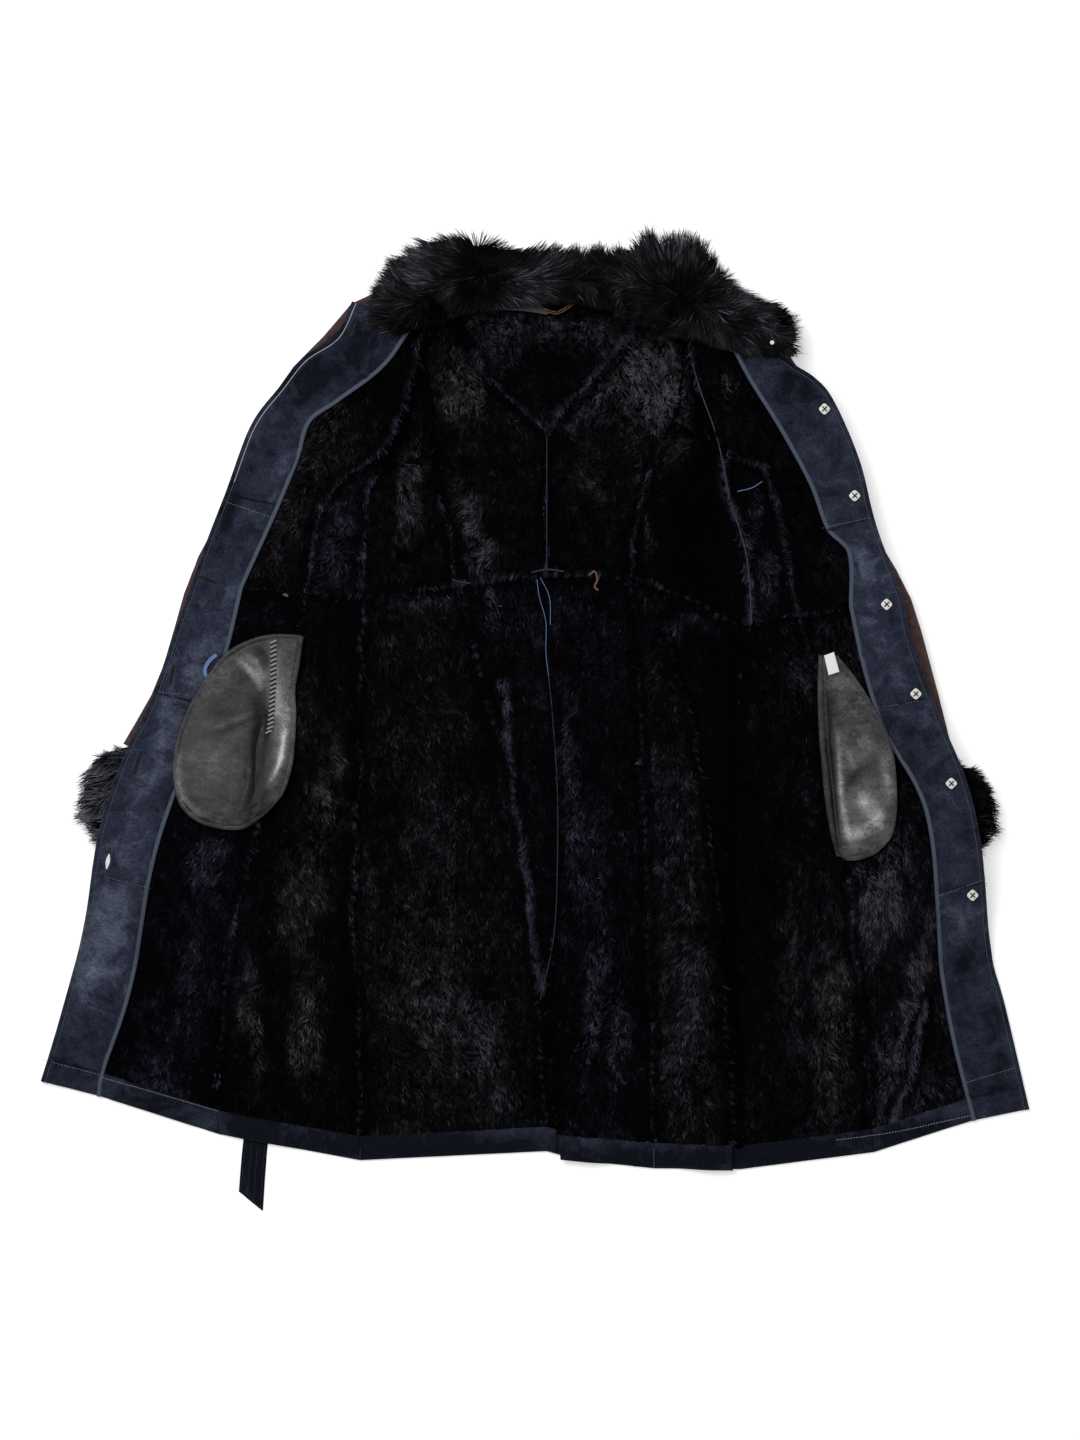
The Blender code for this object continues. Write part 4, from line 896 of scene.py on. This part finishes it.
LEATHER_THICK, RIBBON_THICK = 1.8, 0.6
for side in ("left", "right"):
    for leaf in ("back", "front"):
        node = f"pocket_{side}_{leaf}_leaf"
        folds = pocket_folds if leaf == "front" else drape_none
        shell = skin_of(node, 2.6 if leaf == "front" else 6.0, passes=6, creases=folds)
        declare(with_painted_leather_light(piece("leather_" + node, shell, glove_leather)), node, LEATHER_THICK)
on_pockets = surface_of([f"leather_pocket_{side}_front_leaf" for side in ("left", "right")])
POCKET_RIMS = [
    [(-256, 95), (-285, 96), (-312, 90), (-338, 75), (-362, 44), (-381, 10), (-391, -22),
     (-393, -51), (-390, -74), (-382, -92), (-364, -106), (-341, -112), (-319, -112),
     (-300, -100), (-286, -86), (-276, -72), (-268, -44), (-265, -12), (-264, 14), (-265, 37),
     (-260, 68), (-256, 95)],
    [(317, 75), (318, 46), (319, 16), (321, -18), (324, -51), (327, -80), (329, -106), (335, -142),
     (350, -146), (368, -140), (380, -130), (388, -117), (392, -94), (392, -69), (391, -46),
     (387, -24), (380, -4), (370, 16), (350, 48), (329, 74)]]
with_painted_leather_light(laid("pocket_binding", [on_pockets(smooth(rim, 150), 0.2) for rim in POCKET_RIMS], 2.6,
            1.2, glove_leather))
stitches("pocket_stitches", [on_pockets(smooth(rim, 150), 1.6) for rim in POCKET_RIMS], 2.6, 1.9,
         0.5, navy_thread)
# The tucks' crowns are pale strips of painted highlight, and their valleys dark strips of painted shade.
tuck_highlights = thread_of("painted_highlight_on_tucks", "8a888a")
tucks = [on_pockets([(x - 3.4, y - 1.6), (x, y + 0.2), (x + 3.0, y + 1.6)], 0.4)
         for x, y in smooth([(-286, 90), (-286, 47), (-289, 1), (-292, -11)], 42)]
laid("ruched_tuck_highlights", tucks[::2], 1.2, 0.6, tuck_highlights)
laid("ruched_valley_shade", tucks[1::2], 1.2, 0.4, dark_thread_and_painted_shade)
everything = surface_of(["suede_" + n for n in FACINGS] + ["skin_" + n for n in PANELS])
laid("pocket_loop", [everything(smooth([(-349, 76), (-356, 70), (-361, 62), (-361, 54), (-356, 49)],
                                       20), 3.4)], 2.2, 0.6, sky_cloth)

blank_label, tree, shader = finish_named(
    # Woven satin ribbon, left blank: white, faintly ribbed and softly shining.
    "white_satin_ribbon", Roughness=0.55, Specular_IOR_Level=0.3)
weave = add(tree, "TexWave", {"Vector": add(tree, "TexCoord").outputs["Object"],
                              "Scale": 0.5 / (0.6 * MM), "Distortion": 0.6}, bands_direction="Y")
shades = add(tree, "ValToRGB", {"Fac": weave.outputs["Fac"]})
shades.color_ramp.elements[0].color = (*linear("c4c4c6"), 1)
shades.color_ramp.elements[1].color = (*linear("e6e6e6"), 1)
tree.links.new(shades.outputs["Color"], shader.inputs["Base Color"])
shell = skin_of("care_label", 2.0, passes=2, creases=drape_none)
declare(piece("cloth_care_label", shell, blank_label), "care_label", RIBBON_THICK)

# ==== Fur collar and cuffs ========================================================================
# Long-haired black fur over a padded core: a dense underwool with guard hairs of 15 to 30 mm,
# combed outward from the neck and the wrist, and parted into locks.
CORE_EDGE = 9               # the core's mesh is cut to edges of about this length, in mm
HAIR_SEGMENTS = 3
HAIR_STAND = 0.5            # radians by which the hair stands off the core
HAIR_DROOP = 0.14           # how far its tips sink, as a share of its length
long_fur, tree, shader = finish_named(
    # Dyed long guard hair: black, with a soft grey sheen painted into each hair's colour.
    "long_guard_hair", Roughness=0.5, Specular_IOR_Level=0.015)
dye_and_painted_light = add(tree, "Attribute", attribute_name="dye_and_painted_light")
tree.links.new(dye_and_painted_light.outputs["Color"], shader.inputs["Base Color"])


def shrunk_core(node, inset, share, low=1.0):
    """The solid of a fur piece, drawn in and sunk to that share of its height: hair fills the rest."""
    core = bmesh.new()
    core.from_mesh(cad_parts[node].data)
    bmesh.ops.scale(core, vec=(1 / MM,) * 3, verts=core.verts)
    bmesh.ops.remove_doubles(core, verts=core.verts, dist=0.002)
    for _ in range(2):
        long_edges = [e for e in core.edges if e.calc_length() > CORE_EDGE]
        bmesh.ops.subdivide_edges(core, edges=long_edges, cuts=1, use_grid_fill=True)
        bmesh.ops.triangulate(core, faces=[f for f in core.faces if len(f.verts) > 3])
    core.normal_update()
    solid = BVHTree.FromBMesh(core)
    moved = []
    for v in core.verts:
        under = solid.ray_cast(Vector((v.co.x, v.co.y, BENEATH)), Vector((0, 0, 1)))[0]
        floor = under.z if under else v.co.z
        pull = inset * (1 if v.normal.y > 0 else low)
        moved.append((v.co.x - v.normal.x * inset, v.co.y - v.normal.y * pull,
                      floor + (v.co.z - floor) * share))
    for vertex, point in zip(core.verts, moved):
        vertex.co = point
    bmesh.ops.smooth_vert(core, verts=core.verts, factor=0.5, use_axis_x=True, use_axis_y=True,
                          use_axis_z=True)
    core.normal_update()
    return core


def guard_hair(name, core, comb, lights, reach, per_mm2, seed, keep, lowest=None):
    """Long hair on a fur core: comb gives each root's direction, locks draw their tips together, and lights
    give where highlights are painted into the hair's colour.
    """
    rng = np.random.default_rng(seed)
    roots, normals, _, _ = scattered(core, per_mm2, seed, keep)
    way = comb(roots)
    way = way / np.linalg.norm(way, axis=1)[:, None]
    swing = (0.3 * cloud(roots, 38, seed) + 0.4 * cloud(roots, 14, seed + 1)
             + rng.normal(0, 0.12, len(roots)))
    turned = np.stack([way[:, 0] * np.cos(swing) - way[:, 1] * np.sin(swing),
                       way[:, 0] * np.sin(swing) + way[:, 1] * np.cos(swing)], axis=1)
    stand = np.clip(HAIR_STAND + 0.25 * cloud(roots, 20, seed + 2) + rng.normal(0, 0.12, len(roots)), 0.05, 1)
    upright = normals / np.maximum(np.linalg.norm(normals, axis=1), 1e-6)[:, None]
    flat = np.column_stack([turned, np.zeros(len(roots))])
    flat -= 0.85 * upright * (flat * upright).sum(axis=1)[:, None]
    flat /= np.linalg.norm(flat, axis=1)[:, None]
    ways = flat * np.cos(stand)[:, None] + upright * np.sin(stand)[:, None]
    lengths = reach * rng.uniform(0.55, 1.1, len(roots)) * (1 + 0.25 * cloud(roots, 26, seed + 3))
    lengths *= 1 - 0.5 * patches(roots, SHORT_HAIR).sum(axis=0)
    if lowest:                  # hair that would hang below the lower edge is clipped shorter
        edge = np.interp(roots[:, 0], *np.array(lowest).T)
        room = (roots[:, 1] - edge + 5) / np.maximum(-ways[:, 1], 0.05)
        lengths = np.clip(lengths, 4, np.maximum(room, 4))
    lock = np.stack([cloud(roots, 7, seed + 4), cloud(roots, 7, seed + 5)], axis=1) * 7
    bends = np.column_stack([lock + rng.normal(0, 1.2, (len(roots), 2)), -lengths * HAIR_DROOP])
    bends[:, :2] *= (lengths / reach)[:, None]
    widths = rng.uniform(0.55, 1.1, len(roots))
    light = 0.045 + 0.2 * np.maximum(patches(roots, lights).sum(axis=0), -0.15)
    light *= np.exp(1.3 * cloud(roots, 5, seed + 7) + 0.7 * cloud(roots, 16, seed + 8)
                    + rng.normal(-0.2, 0.85, len(roots)))
    light = np.clip(light, 0.004, 1.2)[:, None]
    colours = HAIR_BLACK * (1 - np.minimum(light, 1)) + HAIR_GREY * light
    mesh = fur_mesh(name, roots, ways, lengths, widths, colours, bends, HAIR_SEGMENTS)
    return mesh_piece(name, mesh, long_fur, smooth_shaded=False)


def underwool(name, core, reach, per_mm2, seed, keep):
    """Short dense wool all over a fur core, so that its skin never shows between the locks."""
    rng = np.random.default_rng(seed)
    roots, normals, _, _ = scattered(core, per_mm2, seed, keep)
    ways = normals + rng.normal(0, 0.45, normals.shape)
    ways /= np.linalg.norm(ways, axis=1)[:, None]
    ways[:, 2] = np.abs(ways[:, 2])
    colours = HAIR_BLACK + HAIR_GREY * 0.05 * np.exp(rng.normal(0, 0.9, (len(roots), 1)))
    mesh = fur_mesh(name, roots, ways, reach * rng.uniform(0.5, 1, len(roots)),
                    rng.uniform(0.8, 1.6, len(roots)), colours, np.zeros(roots.shape), 1)
    return mesh_piece(name, mesh, long_fur, smooth_shaded=False)


COLLAR_COMB = [     # the way the collar's hair has been pushed: x, y and degrees from +x
    (-105, 534, 150), (-139, 516, 165), (-88, 516, 172), (-153, 492, 190), (-122, 492, 200),
    (-81, 492, 212), (-174, 465, 190), (-136, 465, 185), (-94, 472, 200), (-70, 468, 265),
    (-39, 516, 10), (-32, 527, 60), (-32, 496, -25), (2, 485, -30), (-1, 516, 50), (37, 509, 80),
    (44, 478, -40), (78, 509, 100), (85, 478, 250), (119, 493, 150), (133, 465, 200),
    (137, 517, 120), (164, 503, 85), (188, 509, 55), (199, 478, 5), (223, 454, -20),
    (199, 441, -50), (161, 441, 265), (133, 437, 230), (257, 451, -10), (264, 424, -40),
    (233, 424, -55)]
SHORT_HAIR = [(-176, 470, 20, 40, 0, 0.5)]      # at the outer edge of the left lobe
# The collar's lower edge, from left to right.
COLLAR_FOOT = [(-172, 438), (-160, 431), (-148, 428), (-113, 440), (-80, 457), (-33, 464),
               (14, 470), (69, 466), (121, 453), (164, 429), (195, 416), (223, 408), (281, 406)]
COLLAR_LIGHTS = [     # where the hair shines: (x, y), half width, half length, lean and strength
    (-118, 508, 38, 24, 0, 1.0), (-152, 488, 22, 22, 0, 0.7), (-5, 490, 44, 13, -30, 0.55),
    (150, 520, 34, 14, 0, 0.9), (215, 470, 26, 18, 0, 0.5), (245, 445, 26, 16, 0, 0.5),
    (-62, 500, 10, 40, 0, -0.5), (190, 440, 20, 14, 0, 0.4), (110, 480, 14, 14, 0, 0.3)]
# HAIR_GREY is the grey of the hair's painted highlights.
HAIR_BLACK, HAIR_GREY = linear("020203"), linear("616269")


def collar_comb(roots):
    """Follows the nearest rows of the comb table."""
    table = np.array(COLLAR_COMB, float)
    away = np.linalg.norm(roots[:, None, :2] - table[None, :, :2], axis=2)
    pull = np.exp(-(away / 20) ** 2) + 1e-6
    turn = np.radians(table[:, 2])
    return np.stack([pull @ np.cos(turn), pull @ np.sin(turn)], axis=1)


# The collar's core is drawn in by 12 mm, but hardly at its foot, where it meets the yoke.
core = shrunk_core("fur_collar", 12, 0.6, low=0.15)
for part, keep in (("left", lambda f: f.calc_center_median().x < 50),
                   ("right", lambda f: f.calc_center_median().x >= 50)):
    guard_hair("hair_collar_" + part, core, collar_comb, COLLAR_LIGHTS, 26, 0.8, 200,
               lambda f, keep=keep: keep(f) and f.normal.z > -0.3, COLLAR_FOOT)
underwool("underwool_collar", core, 2.6, 0.5, 220, lambda f: f.normal.z > -0.3)
collar = piece("core_fur_collar", core, skin_stuff)
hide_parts("fur_collar")
# The left cuff lies in the light, so grey highlights are painted into its hair; the right one's hair is left
# black.
CUFF_LIGHTS = [(-480, -80, 60, 70, 0, 4.0), (480, -80, 60, 70, 0, -0.1)]
for side, way in (("left", (-1, -0.35)), ("right", (1, -0.35))):
    node = "fur_cuff_" + side
    core = shrunk_core(node, 6, 0.75)
    guard_hair("hair_" + node, core, lambda roots, way=way: np.tile(way, (len(roots), 1)),
               CUFF_LIGHTS, 15, 0.17, 300, lambda f: f.normal.z > -0.6)
    underwool("underwool_" + node, core, 3, 0.25, 320, lambda f: f.normal.z > -0.6)
    cuff = piece("core_" + node, core, skin_stuff)
    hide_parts(node)

# ==== Buttons, snap and hanging chain ============================================================
# Backing buttons of ivory plastic with four lobes, sewn through with dark thread to the leather
# buttons outside; a white press stud cap at the collar; a little bronze curb chain to hang by.
ivory, *_ = mottled(
    # Moulded plastic, slightly yellowed: smooth and softly glossy.
    "moulded_ivory_plastic", 3, [(0, linear("b9b7b2")), (1, linear("dcdad4"))], Roughness=0.35,
    Specular_IOR_Level=0.5)


def disc(name, centre, radius, thick, stuff, lobes=0.0):
    """A round or four-lobed disc that lies flat, its top at the centre's height."""
    shell = bmesh.new()
    bmesh.ops.create_cone(shell, cap_ends=True, cap_tris=False, segments=32, radius1=radius,
                          radius2=radius, depth=thick)
    rims = [e for e in shell.edges if abs(e.verts[0].co.z - e.verts[1].co.z) < 0.01]
    bmesh.ops.bevel(shell, geom=rims, offset=thick * 0.3, segments=2, profile=0.5, affect="EDGES",
                    material=-1)
    for vertex in shell.verts:
        swell = 1 + lobes * math.cos(4 * math.atan2(vertex.co.y, vertex.co.x))
        vertex.co.x, vertex.co.y = vertex.co.x * swell, vertex.co.y * swell
        vertex.co += Vector(centre) - Vector((0, 0, thick / 2))
    return piece(name, shell, stuff)


BUTTON_RADIUS, BUTTON_THICK, LOBE = 5.6, 1.8, 0.1
THREAD_REACH, THREAD_RISE = 2.6, 0.7        # half length of a stitch of the cross, and its height
crosses = []
for number in range(1, 7):
    node = f"backing_button_{number}"
    places = np.array([v.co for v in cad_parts[node].data.vertices]) / MM
    x, y = (places.min(axis=0) + places.max(axis=0))[:2] / 2
    top = places[:, 2].max()
    made = disc("ivory_" + node, (x, y, top), BUTTON_RADIUS, BUTTON_THICK, ivory, LOBE)
    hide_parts(node)
    for sign in (1, -1):
        run = np.linspace(-1, 1, 7)[:, None] * (THREAD_REACH, THREAD_REACH * sign, 0) + (x, y, top)
        run[:, 2] += THREAD_RISE * np.cos(np.linspace(-1.4, 1.4, 7))
        crosses.append(run)
laid("button_thread", crosses, 0.65, 0.65, dark_thread_and_painted_shade)
for number in range(1, 7):       # the outer buttons lie underneath, and keep their solids
    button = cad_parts[f"outer_button_{number}"]
    button.data.materials[0] = glove_leather
disc("press_stud", (258, 415, 66.0), 2.3, 1.6, ivory)

bronze, *_ = mottled(
    # Cast bronze links, browned with age and rubbed bright in small spots.
    "aged_bronze_links", 1.5, [(0, linear("3a2a22")), (1, linear("9a7a66"))], Metallic=1.0,
    Roughness=0.42)
LINK_HALF_LENGTH, LINK_HALF_WIDTH, WIRE = 2.9, 1.7, 0.5
LINK_ROLL = 35              # degrees that each link is rolled, this way and that in turn
LINK_POINTS = 12
chain_heights = np.array([v.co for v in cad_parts["hanging_chain"].data.vertices]) / MM
chain_top = chain_heights[:, 2].max() - 1.0
chain_line = smooth([(-3, 468), (4, 462), (14, 457), (24, 455), (33, 459), (40, 464), (45, 469)], 15)
links = bpy.data.curves.new("chain_links", "CURVE")
links.dimensions = "3D"
links.bevel_depth = WIRE * MM
links.bevel_resolution = 1
for k, (x, y) in enumerate(chain_line):
    ahead = chain_line[min(k + 1, 14)] - chain_line[max(k - 1, 0)]
    along = Vector((*ahead, 0)).normalized()
    side = Vector((-along.y, along.x, 0))
    roll = math.radians(LINK_ROLL if k % 2 else -LINK_ROLL)
    across = side * math.cos(roll) + Vector((0, 0, 1)) * math.sin(roll)
    loop = links.splines.new("POLY")
    loop.points.add(LINK_POINTS - 1)
    loop.use_cyclic_u = True
    for i, point in enumerate(loop.points):
        turn = 2 * math.pi * i / LINK_POINTS
        spot = (Vector((x, y, chain_top)) + along * LINK_HALF_LENGTH * math.cos(turn)
                + across * LINK_HALF_WIDTH * math.sin(turn))
        point.co = (*(spot * MM), 1)
holder = bpy.data.objects.new("chain_links", links)
chain = mesh_piece("chain_links", bpy.data.meshes.new_from_object(holder), bronze)
bpy.data.objects.remove(holder)
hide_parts("hanging_chain")

# ==== Belt ========================================================================================
# The left end of the tie belt, a doubled strip of navy suede with rows of stitching.
BELT_THICK = 2.8
shell = skin_of("belt", 8.0, passes=2, creases=drape_none)
declare(with_nap_and_painted_light(piece("suede_belt", shell, navy_suede)), "belt", BELT_THICK)
on_belt = surface_of(["suede_belt"])
BELT_ROWS = [[(-313, -395), (-322, -470), (-326, -516)], [(-307, -395), (-315, -470), (-319, -522)],
             [(-299, -395), (-308, -470), (-312, -528)], [(-291, -395), (-300, -470), (-305, -536)],
             [(-326, -516), (-305, -536)]]
stitches("belt_stitches", [on_belt(smooth(row, 30), 0.1) for row in BELT_ROWS], 3.0, 2.1, 0.7,
         navy_thread)

# ==== Studio ======================================================================================
# A white table under broad soft light from above, with the camera straight over the coat.
backdrop_mesh = bpy.data.meshes.new("backdrop")
ground = bmesh.new()
bmesh.ops.create_grid(ground, x_segments=1, y_segments=1, size=6.0)
ground.to_mesh(backdrop_mesh)
ground.free()
white_table, tree, shader = finish_named("white_paper", Roughness=0.9, Specular_IOR_Level=0.1)
shader.inputs["Base Color"].default_value = (0.9, 0.9, 0.9, 1)
shader.inputs["Emission Color"].default_value = (1, 1, 1, 1)
shader.inputs["Emission Strength"].default_value = 0.3
backdrop_mesh.materials.append(white_table)
backdrop = bpy.data.objects.new("backdrop", backdrop_mesh)
bpy.context.scene.collection.objects.link(backdrop)

world = bpy.data.worlds.new("studio")
bpy.context.scene.world = world
world.use_nodes = True
world.node_tree.nodes["Background"].inputs["Color"].default_value = (1, 1, 1, 1)
world.node_tree.nodes["Background"].inputs["Strength"].default_value = 0.42


def lamp(name, place, size, power):
    """A square soft light that faces the middle of the coat."""
    data = bpy.data.lights.new(name, "AREA")
    data.shape = "SQUARE"
    data.size = size
    data.energy = power
    item = bpy.data.objects.new(name, data)
    item.location = place
    item.rotation_euler = (-Vector(place)).to_track_quat("-Z", "Y").to_euler()
    bpy.context.scene.collection.objects.link(item)


lamp("overhead", (-0.7, 0.8, 2.3), 1.5, 46)
lamp("side", (1.9, -0.4, 1.7), 1.2, 9)

CAMERA_HEIGHT = 3.2
PHOTO_HEIGHT = 1.584        # the photograph's 1440 pixels at 1.1 mm each
camera_data = bpy.data.cameras.new("camera")
camera_data.sensor_width = 36
camera_data.lens = 36 * (CAMERA_HEIGHT - 0.03) / PHOTO_HEIGHT
camera = bpy.data.objects.new("camera", camera_data)
camera.location = (0.0055, 0.0044, CAMERA_HEIGHT)      # over the middle of the photograph
bpy.context.scene.collection.objects.link(camera)
bpy.context.scene.camera = camera
bpy.context.scene.view_settings.view_transform = "Standard"
